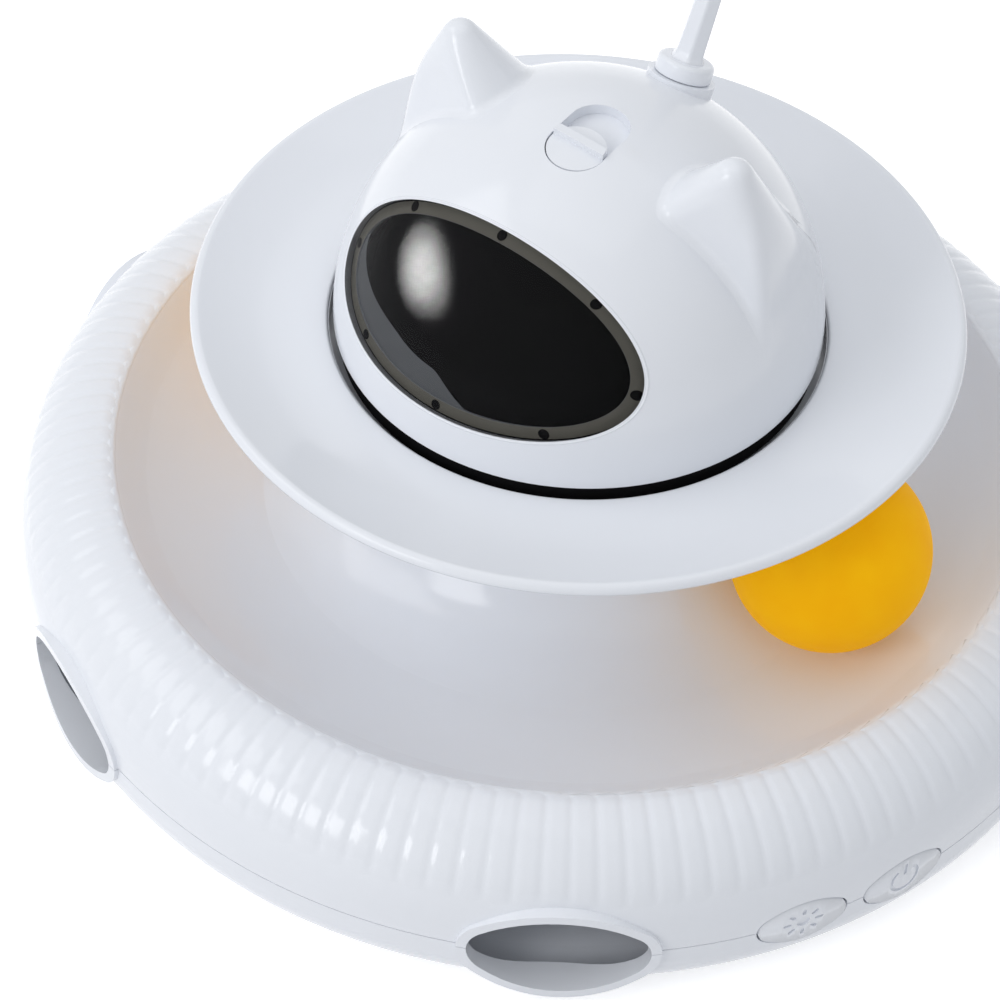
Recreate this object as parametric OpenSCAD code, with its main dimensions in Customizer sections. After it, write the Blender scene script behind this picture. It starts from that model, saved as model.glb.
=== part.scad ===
// Electronic cat toy: a round base with a ball track and six peep holes, a saucer deck,
// and a turning cat head with a smoked visor, a slide switch and a plug-in teaser wand.
// Millimetres, +Z up, origin on the floor at the centre of the base.

/* [Base] */
// Outer diameter of the base at the seam
base_d = 226; // [218:1:236]
// Height of the seam between tray and shell above the floor
seam_z = 16; // [15.5:0.5:18]
// Diameter of the rim crest
rim_d = 188; // [184:1:194]
// Height of the rim crest above the floor
rim_z = 40; // [38:0.5:43]
// Wall of the tray and of the shell
wall = 2.4; // [2:0.1:2.8]
// Radius of the tray's bottom edge
tray_edge_r = 11; // [8:0.5:12]
// Height of the rubber feet below the tray
foot_h = 1.4; // [1:0.1:2]
// Diameter of one rubber foot
foot_d = 14; // [10:1:18]
// Diameter of the circle of feet
foot_pcd = 176; // [160:1:184]
// Number of feet
foot_count = 6; // [4:1:8]

/* [Peep holes] */
// Number of peep holes
hole_count = 6; // [4:1:6]
// Width of a peep hole
hole_w = 35; // [30:0.5:38]
// Height of a peep hole
hole_h = 21; // [18:0.5:21.5]
// Thickness of the lip round a peep hole
lip_t = 2; // [1.6:0.1:2.2]
// How far the lip stands out from the base
lip_out = 0.9; // [0.4:0.1:1.4]

/* [Track and balls] */
// Diameter of a ball
ball_d = 40; // [38:0.5:41]
// Diameter of the circle that the balls run on
track_d = 126; // [124:0.5:128]
// Height of the track floor above the floor
track_z = 28; // [27.5:0.5:29]
// Radius of the sweep from the track up to the column
sweep_r = 24; // [23:0.5:24.5]
// Gap between a ball and the track
ball_gap = 0.3; // [0.2:0.05:0.5]
// Direction of the first ball
ball_1_az = -36; // [-60:1:-10]
// Direction of the second ball
ball_2_az = 148; // [120:1:170]

/* [Deck] */
// Diameter of the deck
deck_d = 153; // [148:1:156]
// Height of the deck's rim above the floor
deck_z = 78; // [77:0.5:80]
// Depth of the dish
deck_dish = 5; // [4:0.5:6]
// Thickness of the deck
deck_t = 2.4; // [2:0.1:2.8]
// Gap between the head and the wall of the well that it turns in
well_gap = 0.8; // [0.6:0.1:1.2]
// Depth of the well below the dish
well_depth = 4.6; // [4.4:0.1:5]

/* [Head] */
// Diameter of the head
head_d = 97; // [96.4:0.1:98]
// Height of the head's centre above the deck's rim
head_lift = -2; // [-2.4:0.1:-1]
// Depth of the head's open edge below the deck's rim
head_edge = 2.7; // [2.5:0.1:3]
// Wall of the head
head_wall = 2.6; // [2.4:0.1:3]
// Direction of the face, turned from the front
head_yaw = -36; // [-180:1:180]
// Direction of an ear's tip from the vertical
ear_polar = 31.7; // [30:0.1:33]
// Height of the middle of an ear's tip above the head
ear_h = 12; // [10:0.5:13]
// Lean of an ear's axis from the vertical
ear_lean = 14; // [10:1:18]
// Radius of an ear's tip
ear_tip_r = 3.6; // [3:0.1:4]
// Half angle of an ear's cone
ear_taper = 27.5; // [25:0.5:29]
// Distance of an ear's flat face from the middle of its tip
ear_face = 2.3; // [2.1:0.1:2.8]
// Turn of an ear's flat face to the side
ear_turn = 16; // [8:1:20]

/* [Visor] */
// Width of the visor
visor_w = 69; // [66:0.5:70]
// Height of the visor
visor_h = 38; // [36:0.5:40]
// Lift of the visor's centre above the horizontal
visor_lift = 33; // [31.5:0.5:34]
// Thickness of the visor
visor_t = 1.6; // [1.4:0.1:1.7]
// Width of the ledge that the visor lies on
visor_ledge = 2.8; // [2.4:0.1:3]

/* [Slide switch] */
// Length of the switch pocket
slot_l = 19; // [18:0.5:21]
// Width of the switch pocket
slot_w = 12; // [11:0.5:13]
// Depth of the switch pocket
slot_depth = 3.2; // [2.8:0.1:3.6]
// Tilt of the pocket towards the face
slot_tilt = 4; // [3:0.1:8]
// Turn of the pocket to the side
slot_turn = 2.2; // [0:0.1:3]

/* [Wand] */
// Place of the socket, as an angle from the top of the head
wand_polar = 38; // [36:0.5:42]
// Lean of the wand from the vertical
wand_lean = 26; // [24:1:30]
// Diameter of the socket's flange
socket_d = 13.6; // [13:0.1:14.4]
// Diameter of the wand's collar
collar_d = 11.4; // [10.6:0.1:12]
// Height of the wand's collar
collar_h = 3.6; // [3.2:0.1:5]
// Width of the rod at its foot
rod_d = 6.8; // [6:0.1:7.4]
// Width of the rod where its foot ends
rod_neck_d = 4.8; // [4.2:0.1:5.2]
// Width of the rod at its tip
rod_tip_d = 3.6; // [3.2:0.1:4]
// Length of the rod's foot
rod_foot_l = 14; // [12:0.5:18]
// Length of the slender rod
rod_l = 90; // [70:1:110]
// Length of the plume
plume_l = 62; // [50:1:70]

/* [Buttons] */
// Width of a push button
button_w = 18.4; // [17:0.2:19]
// Height of a push button
button_h = 10.6; // [10:0.2:12]
// Angle between the two buttons
button_pitch = 11.6; // [11.4:0.1:13]
// Direction of the pair of buttons
button_az = -60; // [-62:1:-58]
// Travel of a button
button_travel = 1.2; // [0.8:0.1:1.4]

/* [Gears] */
// Module of the gears
gear_m = 0.8; // [0.75:0.05:0.8]
// Teeth on the large gears
gear_teeth = 40; // [38:2:42]
// Teeth on the pinions
pinion_teeth = 14; // [14:1:15]
// Width of the gears
gear_t = 3; // [2.6:0.1:3.2]
// Radius of the spindle that carries the head
spindle_r = 5; // [4.5:0.1:5.4]
// Radius of the post that carries the feather arm
post_r = 4; // [3.5:0.1:4.5]

/* [Clearances] */
// Gap round a running shaft
run_gap = 0.05; // [0.02:0.01:0.08]
// Gap between pieces that are assembled by hand
fit_gap = 0.15; // [0.1:0.05:0.25]
// Gap round a button
button_gap = 0.4; // [0.3:0.05:0.5]

/* [Hidden] */
$fn = 144;
eps = 0.01;
oval_crossing = 0.1;
oval_end = 0.62;
base_r = base_d / 2;
rim_r = rim_d / 2;
shoulder_w = base_r - rim_r;
shoulder_dip = 0.3;
shoulder_h = min(shoulder_w, rim_z - seam_z - button_h / 2 + shoulder_dip);
shoulder_z = rim_z - shoulder_h;
bead_r = 1.5;
tray_z = foot_h;
tray_floor_z = tray_z + wall;
seam_gap = 0.2;
tongue_t = 1.2;
tongue_h = 2;
tongue_root = 2.6;

ball_r = ball_d / 2;
track_r = track_d / 2;
track_run = rim_r - track_r;
track_rise = rim_z - track_z;
track_arc = (track_run * track_run + track_rise * track_rise) / (2 * track_rise);
column_r = track_r - sweep_r;
column_in_r = column_r - wall;

deck_r = deck_d / 2;
deck_bead_r = deck_t / 2 + 0.15;
head_r = head_d / 2;
well_r = head_r + well_gap;
dish_z = deck_z - deck_dish;
dish_run = deck_r - deck_bead_r - well_r;
dish_arc = (dish_run * dish_run + deck_dish * deck_dish) / (2 * deck_dish);
well_floor_z = dish_z - well_depth;
column_top_z = well_floor_z - deck_t;
well_edge = 3;

gear_r = gear_m * gear_teeth / 2;
pinion_r = gear_m * pinion_teeth / 2;
gear_backlash = 0.22;
gear_spread = gear_r + pinion_r + 0.1;
gear_phase = 180 / pinion_teeth;
shaft_r = 1;
shaft_in = 6;

boss_r = 3.2;
boss_pcd = 62;
boss_az = [30, 150, 270];
motor_az = 90;
screw_r = 1.4;
screw_head_r = 2.7;
screw_head_h = 1.6;
screw_slack = 0.2;
case_screw_l = 14;
deck_screw_l = 10;
chassis_screw_l = 9;
head_screw_l = 8;
keeper_screw_l = 8;
thread_gap = 0.02;
case_screw_r = base_r - 9;
case_screw_az = [0, 60, 120, 180, 240];
case_boss_r = 4.2;
counterbore = 4;

plate_z = 18;
plate_t = 2;
plate_r = column_in_r - 0.6;
motor_r = 7.75;
motor_h = 17;
motor_flat = 12;
motor_boss_r = 3;
motor_boss_h = 1.2;

carrier_z = tray_floor_z + 1.2;
carrier_hub_r = 8;
carrier_arm_w = 11;
carrier_arm_t = 2.4;
weight_r = 34;
weight_d = 18;
carrier_gear_z = carrier_z + 6;
carrier_top_z = carrier_gear_z + gear_t;
carrier_az = 0;
feather_reach = base_r - 14;
feather_l = 26;
clip_r = feather_reach - feather_l;
clip_l = 12;
clip_w = 9;
clip_h = 5;
clip_slot = 2;
quill_w = 2.4;
feather_t = 1.4;
clip_slot_h = feather_t + 0.2;
feather_w = 14;
keeper_t = 1;

battery_r = 7.1;
battery_l = 50;
battery_y = -14;
holder_t = 1.4;
holder_end = 3;
holder_bar = 6;
board_t = 1.6;
board_w = 46;
board_d = 34;
board_y = 4;
board_z = plate_z + plate_t + 2 * battery_r + 2 * holder_t + 3;
board_post_r = 2.2;
board_hole_r = 0.9;
main_chip = [10, 10, 1.4];
main_plug = [5, 12, 2.8];
main_coil = [6, 5, 2.8];
head_chip = [8, 8, 1.2];
head_plug = [8, 5, 3];
board_post_x = 20;
board_post_y = [board_y - 5, board_y + 13];

socket_az = 108;
usb_w = 9;
usb_h = 3.2;
usb_d = 7.4;
usb_z = 9.5;

flange_t = 1.3;
flange_w = 1.3;
button_face = 0.2;
switch_d = 3.5;
switch_w = 6;
switch_gap = 0.2;
button_side = button_w / 2 + flange_w;
button_span = 2 * (base_r * sin(button_pitch / 2) + button_side + flange_w);
button_in_r = sqrt(pow(base_r - wall, 2) - button_side * button_side) - fit_gap;
button_back_r = button_in_r - flange_t;
switch_face_r = button_back_r - button_travel - switch_gap;
panel_r = switch_face_r - switch_d - board_t;
panel_w = 36;
panel_h = 15;
panel_z = seam_z - panel_h / 2;

head_z = deck_z + head_lift;
edge_z = deck_z - head_edge;
table_t = 2.1;
table_r = sqrt(head_r * head_r - (head_z - edge_z) * (head_z - edge_z)) - 1;
table_skirt = 2.6;
skirt_t = 2;
head_gear_z = well_floor_z + 1.2;
bush_r = 8;
bush_flange_r = 10;
bush_flange_t = 1;
bush_l = 11;
spindle_end_z = well_floor_z - bush_l - 3;
clip_groove_r = spindle_r - 1;
clip_t = 0.8;
groove_z = spindle_end_z + 1;
head_boss_r = 3.4;
head_boss_in = 3.2;
head_boss_pcd = 2 * (table_r - skirt_t - head_boss_r - head_boss_in);
head_boss_az = [90, 190, 350];

ear_wall = 2;
ear_crossing = 0.08;
ear_back = 1;
ear_rake = 8;
ear_root = 15;
ear_l = ear_h + ear_root;

pin_az = [0, 50, 90, 130, 180, 230, 270, 310];
pin_r = 0.75;
pin_gap = 0.1;
slot_floor = head_r - slot_depth;
slot_wall = 1.6;
knob_r = slot_w / 2 - 0.25;
knob_travel = slot_l - slot_w;
knob_crown = slot_depth - 0.5;
stem_r = 1.4;
stem_y = -3.2;
stem_gap = 0.5;
switch_body = [7, 15, 4];

socket_rise = 1.7;
peg_r = 3;
peg_l = 8;
tip_l = 9;
tip_r = 2.9;
rod_start = socket_rise + collar_h;
rod_neck = rod_start + rod_foot_l;
rod_end = rod_neck + rod_l;
plume_w = 20;
plume_t = 3;
quill_r = 0.9;
plume_in = 4.5;
plume_stem = 12;
plume_gap = 6;
plume_edge = 6;

laser_r = 4;
laser_l = 16;
laser_z = head_z + 10;
laser_y = -20;
laser_dip = 12;
bracket_t = 2;
bracket_w = 16;
bracket_d = 6;
bracket_toe = 5;
shield_back = 4;
shield_t = 1.4;
shield_r = head_r - head_wall - shield_back;
shield_stem_z = 9;
beam_r = 2.5;
head_board_w = 40;
head_board_d = 22;
head_board_y = 16;
head_board_z = edge_z + 4;
head_post_r = 2;

// Oval of four arcs: half width a, half height b, end radius r. The ends are a touch fuller than
// tangent, so that they cross the crowns in clear points.
module oval(a, b, r) {
  end_r = r + oval_crossing;
  drop = ((a - r) * (a - r) - (b - r) * (b - r)) / (2 * (b - r));
  crown_r = b + drop;
  join_x = (a - r) + r * (a - r) / (crown_r - r);
  intersection() {
    translate([0, -drop]) circle(r = crown_r);
    translate([0, drop]) circle(r = crown_r);
    square([2 * join_x, 4 * b], center = true);
  }
  for (side = [-1, 1]) translate([side * (a - end_r), 0]) circle(r = end_r);
}

// Stadium of a full length and a full width, along Y
module stadium(length, width) {
  square([width, length - width], center = true);
  for (side = [-1, 1]) translate([0, side * (length - width) / 2]) circle(d = width);
}

// Children at one direction and height: local Z points outwards, local Y up
module facing(az, z) {
  rotate([0, 0, az]) translate([0, 0, z]) rotate([90, 0, 90]) children();
}

// Children at each peep hole
module at_holes() {
  for (i = [0 : hole_count - 1]) facing(-90 + i * 360 / hole_count, seam_z) children();
}

// Children at each push button
module at_buttons() {
  for (side = [-1, 1]) facing(button_az + side * button_pitch / 2, seam_z) children();
}

// Children at each boss that joins shell, plate and deck
module at_bosses() {
  for (az = boss_az) rotate([0, 0, az]) translate([boss_pcd / 2, 0, 0]) children();
}

// Children at each case screw
module at_case_screws() {
  for (az = case_screw_az) rotate([0, 0, az]) translate([case_screw_r, 0, 0]) children();
}

// Children at the axis of a motor
module at_motor() {
  rotate([0, 0, motor_az]) translate([gear_spread, 0, 0]) children();
}

// Ring about the Z axis
module ring(r_out, r_in, z_low, z_high) {
  translate([0, 0, z_low]) difference() {
    cylinder(r = r_out, h = z_high - z_low);
    translate([0, 0, -eps]) cylinder(r = r_in, h = z_high - z_low + 2 * eps);
  }
}

// Pan-head screw with its head's seat at z = 0, shank along -Z or up
module screw(length) {
  cylinder(r = screw_r, h = length);
  translate([0, 0, -screw_head_h]) difference() {
    cylinder(r = screw_head_r, h = screw_head_h);
    for (turn = [0, 90]) rotate([0, 0, turn]) cube([2.8, 0.6, 1.4], center = true);
  }
}

// Point of an involute at radius r, for base circle rb, turned by a
function involute_angle(r, rb) = r <= rb ? 0 : sqrt(r * r / (rb * rb) - 1) * 180 / PI - acos(rb / r);

// Outline of a spur gear with straight tips and roots
function gear_outline(teeth, add, ded) =
  let (rp = gear_m * teeth / 2, rb = rp * cos(20), ra = rp + add * gear_m, rr = rp - ded * gear_m,
       half = 90 / teeth - gear_backlash / (2 * rp) * 180 / PI / 2,
       at_pitch = involute_angle(rp, rb),
       radii = [rr, max(rr + 0.05, rb), (max(rr, rb) + rp) / 2, rp, (rp + ra) / 2, ra],
       flank = [for (r = radii) [r, half + at_pitch - involute_angle(r, rb)]],
       count = len(radii))
  [for (t = [0 : teeth - 1], side = [0, 1], i = [0 : count - 1])
    let (p = flank[side == 0 ? i : count - 1 - i], a = t * 360 / teeth + (side == 0 ? -p[1] : p[1]))
    [p[0] * cos(a), p[0] * sin(a)]];

module large_gear() {
  linear_extrude(gear_t) polygon(gear_outline(gear_teeth, 0.8, 1.2));
}

module pinion() {
  rotate([0, 0, 180 + gear_phase]) linear_extrude(gear_t) polygon(gear_outline(pinion_teeth, 0.9, 1.15));
}

// Air space of the ball track in half section, grown by t
module track_space(t) {
  intersection() {
    translate([track_r, track_z + track_arc]) circle(r = track_arc + t);
    translate([track_r, track_z - t]) square([rim_r, track_arc]);
  }
  intersection() {
    translate([track_r, track_z + sweep_r]) circle(r = sweep_r + t);
    translate([0, track_z - t]) square([track_r + eps, sweep_r + t]);
  }
  translate([column_r - t, track_z + sweep_r]) square([sweep_r + t + eps, column_top_z]);
}

// Shell in half section with its surface moved in by t, open downwards past low_z
module shell_form(t, low_z) {
  difference() {
    union() {
      translate([0, low_z]) square([base_r - t, shoulder_z - low_z]);
      translate([0, low_z]) square([rim_r, rim_z - t - low_z]);
      intersection() {
        translate([rim_r, shoulder_z]) scale([(shoulder_w - t) / (shoulder_h - t), 1])
          circle(r = shoulder_h - t);
        translate([rim_r - eps, shoulder_z - eps]) square([base_r, base_r]);
      }
    }
    track_space(t);
  }
  translate([0, low_z]) square([column_r - t, column_top_z - t - low_z]);
}

// Outline of a peep hole, grown by t
module hole_outline(t) {
  oval(hole_w / 2 + t, hole_h / 2 + t, hole_h / 2 * oval_end + t);
}

// Solid lips of all peep holes between two heights, still to be cut through
module hole_lips(z_low, z_high) {
  inner_r = base_r - tray_edge_r;
  for (i = [0 : hole_count - 1]) rotate([0, 0, i * 360 / hole_count]) intersection() {
    facing(-90, seam_z) translate([0, 0, inner_r - wall]) linear_extrude(base_r - inner_r + 2 * wall)
      hole_outline(lip_t);
    ring(base_r + lip_out, inner_r, z_low, z_high);
  }
}

module hole_cuts() {
  at_holes() translate([0, 0, base_r - 4 * wall]) linear_extrude(8 * wall) hole_outline(0);
}

// Outline of a push button, grown by t
module button_outline(t) {
  oval(button_w / 2 + t, button_h / 2 + t, button_h / 2 * oval_end + t);
}

module button_cuts() {
  at_buttons() translate([0, 0, base_r - 2 * wall]) linear_extrude(4 * wall) button_outline(button_gap);
}

// Tray in half section with its surface moved in by t, open upwards past high_z
module tray_form(t, high_z) {
  flat_r = base_r - tray_edge_r;
  edge_top_z = tray_z + tray_edge_r;
  translate([0, tray_z + t]) square([flat_r, high_z - tray_z - t]);
  translate([0, edge_top_z]) square([base_r - t, high_z - edge_top_z]);
  intersection() {
    translate([flat_r, edge_top_z]) circle(r = tray_edge_r - t);
    translate([flat_r - eps, tray_z]) square([tray_edge_r + 1, tray_edge_r + eps]);
  }
}

// Tongue of the tray that stands inside the shell, left out behind the buttons
module tongue() {
  difference() {
    union() {
      ring(base_r - wall - fit_gap, base_r - wall - tongue_t, seam_z - tongue_root, seam_z + tongue_h);
      ring(base_r - wall + eps, base_r - wall - tongue_t, seam_z - tongue_root, seam_z - fit_gap);
    }
    facing(button_az, seam_z) translate([-button_span / 2, -button_h, 0])
      cube([button_span, 2 * button_h, base_d]);
  }
}

module base_tray() {
  color("white") difference() {
    union() {
      difference() {
        union() {
          rotate_extrude() tray_form(0, seam_z);
          hole_lips(tray_z, seam_z);
        }
        rotate_extrude() tray_form(wall, seam_z + 1);
      }
      tongue();
      at_case_screws() translate([0, 0, tray_floor_z - eps])
        cylinder(r = case_boss_r, h = seam_z - tray_floor_z);
      translate([0, 0, tray_floor_z - eps])
        cylinder(r = carrier_hub_r - 1, h = carrier_z - tray_floor_z - fit_gap);
      translate([0, 0, tray_floor_z - eps])
        cylinder(r = post_r, h = carrier_top_z + fit_gap - tray_floor_z);
      for (side = [-1, 1]) facing(button_az, 0)
        translate([side * (panel_w / 2 - 3) - 2.5, tray_floor_z - eps, panel_r - 2])
          cube([5, panel_z - tray_floor_z + eps, board_t + 3]);
      facing(socket_az, 0) translate([-usb_w / 2 - 1.5, tray_floor_z - eps, base_r - wall - usb_d - 1.2])
        cube([usb_w + 3, usb_z - usb_h / 2 - tray_floor_z + eps, usb_d]);
    }
    hole_cuts();
    button_cuts();
    at_case_screws() translate([0, 0, tray_z - 1]) cylinder(r = screw_r + screw_slack, h = seam_z + tongue_h);
    at_case_screws() translate([0, 0, tray_z - 1]) cylinder(r = screw_head_r + 0.3, h = 1 + counterbore);
    translate([0, 0, carrier_top_z - keeper_screw_l - 1])
      cylinder(r = screw_r + thread_gap, h = keeper_screw_l + 2);
    for (i = [0 : foot_count - 1]) rotate([0, 0, (i + 0.5) * 360 / foot_count])
      translate([foot_pcd / 2, 0, tray_z - 1]) cylinder(d = foot_d + 2 * fit_gap, h = 1.8);
    facing(socket_az, usb_z) translate([0, 0, base_r - 3 * wall]) linear_extrude(6 * wall)
      rotate(90) stadium(usb_w + 2 * fit_gap, usb_h + 2 * fit_gap);
  }
}

module base_shell() {
  color("white") difference() {
    union() {
      difference() {
        union() {
          rotate_extrude() {
            shell_form(0, seam_z + seam_gap);
            translate([rim_r, rim_z - bead_r]) circle(r = bead_r);
          }
          hole_lips(seam_z + seam_gap, rim_z);
        }
        rotate_extrude() shell_form(wall, seam_z - 1);
      }
      at_bosses() translate([0, 0, plate_z + plate_t])
        cylinder(r = boss_r, h = column_top_z - plate_z - plate_t - wall + eps);
      intersection() {
        at_case_screws() translate([0, 0, seam_z]) cylinder(r = case_boss_r, h = rim_z);
        rotate_extrude() shell_form(wall / 2, seam_z);
      }
    }
    hole_cuts();
    button_cuts();
    ring(base_r - wall + eps, base_r - wall - 2 * tongue_t, seam_z - 1, seam_z + tongue_h + fit_gap);
    at_bosses() translate([0, 0, plate_z]) cylinder(r = screw_r + thread_gap, h = column_top_z);
    at_case_screws() translate([0, 0, seam_z - 1]) cylinder(r = screw_r + thread_gap, h = case_screw_l);
    translate([0, 0, column_top_z - 2 * wall]) cylinder(r = bush_r + fit_gap, h = 4 * wall);
    at_motor() translate([0, 0, column_top_z - 2 * wall])
      cylinder(r = motor_boss_r + fit_gap, h = 4 * wall);
  }
}

module deck() {
  color("white") difference() {
    rotate_extrude() {
      intersection() {
        difference() {
          translate([well_r, dish_z + dish_arc]) circle(r = dish_arc + deck_t);
          translate([well_r, dish_z + dish_arc]) circle(r = dish_arc);
        }
        translate([well_r, dish_z - deck_t]) square([dish_run, deck_dish + 2 * deck_t]);
      }
      translate([well_r + dish_run, deck_z - deck_t / 2]) circle(r = deck_bead_r);
      translate([well_r + 1.2, dish_z]) circle(r = 0.7);
      polygon([[0, column_top_z], [well_r + deck_t - well_edge, column_top_z],
               [well_r + deck_t, column_top_z + well_edge], [well_r + deck_t, dish_z - eps],
               [well_r, dish_z], [well_r, well_floor_z], [0, well_floor_z]]);
    }
    translate([0, 0, column_top_z - 1]) cylinder(r = bush_r + fit_gap, h = 2 * deck_t);
    at_motor() translate([0, 0, column_top_z - 1]) cylinder(r = motor_boss_r + fit_gap, h = 2 * deck_t);
    at_bosses() translate([0, 0, column_top_z - 1]) cylinder(r = screw_r + screw_slack, h = 2 * deck_t);
  }
}

module rubber_feet() {
  color("dimgray") for (i = [0 : foot_count - 1]) rotate([0, 0, (i + 0.5) * 360 / foot_count])
    translate([foot_pcd / 2, 0, 0]) {
      cylinder(d1 = foot_d - 1, d2 = foot_d, h = 0.6);
      translate([0, 0, 0.6]) cylinder(d = foot_d, h = tray_z + 0.2);
    }
}

module case_screws() {
  color("silver") at_case_screws() translate([0, 0, tray_z + counterbore]) screw(case_screw_l);
}

module deck_screws() {
  color("silver") at_bosses() translate([0, 0, well_floor_z]) mirror([0, 0, 1]) screw(deck_screw_l);
}

module chassis_plate() {
  color("gainsboro") difference() {
    union() {
      translate([0, 0, plate_z]) cylinder(r = plate_r, h = plate_t);
      for (x = [-1, 1], y = board_post_y) translate([x * board_post_x, y, plate_z])
        cylinder(r = board_post_r, h = board_z - plate_z);
    }
    at_bosses() translate([0, 0, plate_z - 1]) cylinder(r = screw_r + screw_slack, h = 2 * plate_t);
    at_motor() translate([0, 0, plate_z - 1]) cylinder(r = motor_boss_r + fit_gap, h = 2 * plate_t);
  }
}

module chassis_screws() {
  color("silver") at_bosses() translate([0, 0, plate_z]) screw(chassis_screw_l);
}

// Flat-sided motor can with its boss upwards, standing on z = 0
module motor() {
  difference() {
    union() {
      intersection() {
        cylinder(r = motor_r, h = motor_h);
        translate([-motor_r, -motor_flat / 2, 0]) cube([2 * motor_r, motor_flat, motor_h]);
      }
      translate([0, 0, motor_h - eps]) cylinder(r = motor_boss_r, h = motor_boss_h);
      for (side = [-1, 1]) translate([side * 4 - 1, -0.25, -2.5]) cube([2, 0.5, 2.5 + eps]);
    }
    translate([0, 0, motor_h - shaft_in - 1]) cylinder(r = shaft_r + run_gap, h = 2 * shaft_in);
  }
}

module feather_motor() {
  color("silver") at_motor() translate([0, 0, plate_z + plate_t + motor_h]) mirror([0, 0, 1]) motor();
}

module feather_pinion() {
  color("ivory") at_motor() {
    translate([0, 0, carrier_gear_z]) pinion();
    translate([0, 0, carrier_gear_z])
      cylinder(r = shaft_r, h = plate_z + plate_t + shaft_in - carrier_gear_z);
  }
}

module feather_carrier() {
  color("ivory") rotate([0, 0, carrier_az]) difference() {
    union() {
      translate([0, 0, carrier_z]) cylinder(r = carrier_hub_r, h = carrier_top_z - carrier_z);
      translate([0, 0, carrier_gear_z]) rotate([0, 0, motor_az - carrier_az]) large_gear();
      translate([0, -carrier_arm_w / 2, carrier_z])
        cube([clip_r + clip_l / 2, carrier_arm_w, carrier_arm_t]);
      translate([0, -1.2, carrier_z]) cube([clip_r - clip_l / 2 - 1, 2.4, carrier_arm_t + 2.2]);
      translate([clip_r + clip_l / 2, 0, carrier_z]) cylinder(d = carrier_arm_w, h = carrier_arm_t);
      translate([-weight_r, -carrier_arm_w / 2, carrier_z])
        cube([weight_r, carrier_arm_w, carrier_arm_t]);
      translate([-weight_r, 0, carrier_z]) cylinder(d = weight_d, h = carrier_arm_t + 1);
    }
    translate([0, 0, carrier_z - 1]) cylinder(r = post_r + run_gap, h = carrier_top_z);
  }
}

module carrier_keeper() {
  color("silver") translate([0, 0, carrier_top_z + fit_gap]) {
    translate([0, 0, keeper_t]) mirror([0, 0, 1]) screw(keeper_screw_l);
    ring(carrier_hub_r - 1.5, screw_r + 0.1, 0, keeper_t);
  }
}

module feather_clip() {
  color("orange") rotate([0, 0, carrier_az])
    translate([clip_r, 0, carrier_z + carrier_arm_t]) difference() {
      translate([-clip_l / 2, -clip_w / 2, 0]) cube([clip_l, clip_w, clip_h]);
      translate([0, -quill_w / 2 - 2 * fit_gap, clip_slot])
        cube([clip_l, quill_w + 4 * fit_gap, clip_slot_h]);
    }
}

module ambush_feather() {
  vane_l = feather_reach - clip_r - clip_l / 2 - 1;
  color("tomato") rotate([0, 0, carrier_az])
    translate([clip_r, 0, carrier_z + carrier_arm_t + clip_slot + 0.1]) {
      translate([fit_gap, -quill_w / 2, 0]) cube([clip_l, quill_w, feather_t]);
      translate([feather_reach - clip_r - vane_l / 2, 0, 0]) linear_extrude(feather_t)
        oval(vane_l / 2, feather_w / 2, feather_w / 4);
    }
}

module battery_cell() {
  color("steelblue") translate([-battery_l / 2, battery_y, plate_z + plate_t + holder_t + battery_r])
    rotate([0, 90, 0]) {
      cylinder(r = battery_r, h = battery_l);
      translate([0, 0, battery_l - eps]) cylinder(r = 2.6, h = 1);
    }
}

module battery_holder() {
  color("dimgray") translate([0, battery_y, plate_z + plate_t]) difference() {
    translate([-battery_l / 2 + holder_end, -battery_r - holder_t, 0])
      cube([battery_l - 2 * holder_end, 2 * battery_r + 2 * holder_t, 2 * holder_t + battery_r]);
    translate([-battery_l, 0, holder_t + battery_r]) rotate([0, 90, 0])
      cylinder(r = battery_r + fit_gap, h = 2 * battery_l);
    translate([-battery_l / 2 + holder_end + holder_bar, -battery_r - 3 * holder_t, holder_t])
      cube([battery_l - 2 * (holder_end + holder_bar), 2 * battery_r + 6 * holder_t, 3 * battery_r]);
  }
}

module main_board() {
  color("seagreen") translate([0, board_y, board_z]) {
    difference() {
      translate([-board_w / 2, -board_d / 2, 0]) cube([board_w, board_d, board_t]);
      for (x = [-1, 1], y = board_post_y) translate([x * board_post_x, y - board_y, -1])
        cylinder(r = board_hole_r, h = 2 * board_t + 1);
    }
    translate([-main_chip[0] / 2, -main_chip[1] / 2, board_t]) cube(main_chip);
    translate([-board_w / 2 + main_plug[0], -main_plug[1] / 2, board_t]) cube(main_plug);
    translate([board_w / 4, -board_d / 4, board_t]) cube(main_coil);
    translate([board_w / 4, board_d / 8, board_t]) cylinder(d = main_coil[1], h = main_coil[2]);
  }
}

module charge_socket() {
  color("silver") facing(socket_az, usb_z) translate([0, 0, base_r - wall - usb_d - 0.6]) difference() {
    linear_extrude(usb_d + 2) rotate(90) stadium(usb_w, usb_h);
    translate([0, 0, 1.2]) linear_extrude(usb_d + 2) difference() {
      rotate(90) stadium(usb_w - 0.7, usb_h - 0.7);
      square([usb_w - 2.4, 0.7], center = true);
    }
  }
}

module button_board() {
  color("seagreen") facing(button_az, panel_z) translate([-panel_w / 2, 0, panel_r])
    cube([panel_w, panel_h, board_t]);
}

// Children at the foot of each button's switch
module at_switches() {
  for (side = [-1, 1]) facing(button_az, seam_z)
    translate([side * sin(button_pitch / 2) * switch_face_r, 0, panel_r + board_t]) children();
}

module button_switches() {
  color("dimgray") at_switches() {
    translate([-switch_w / 2, -switch_w / 2, 0]) cube([switch_w, switch_w, switch_d - 1.4]);
    cylinder(r = 1.7, h = switch_d - 0.8);
  }
}

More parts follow.
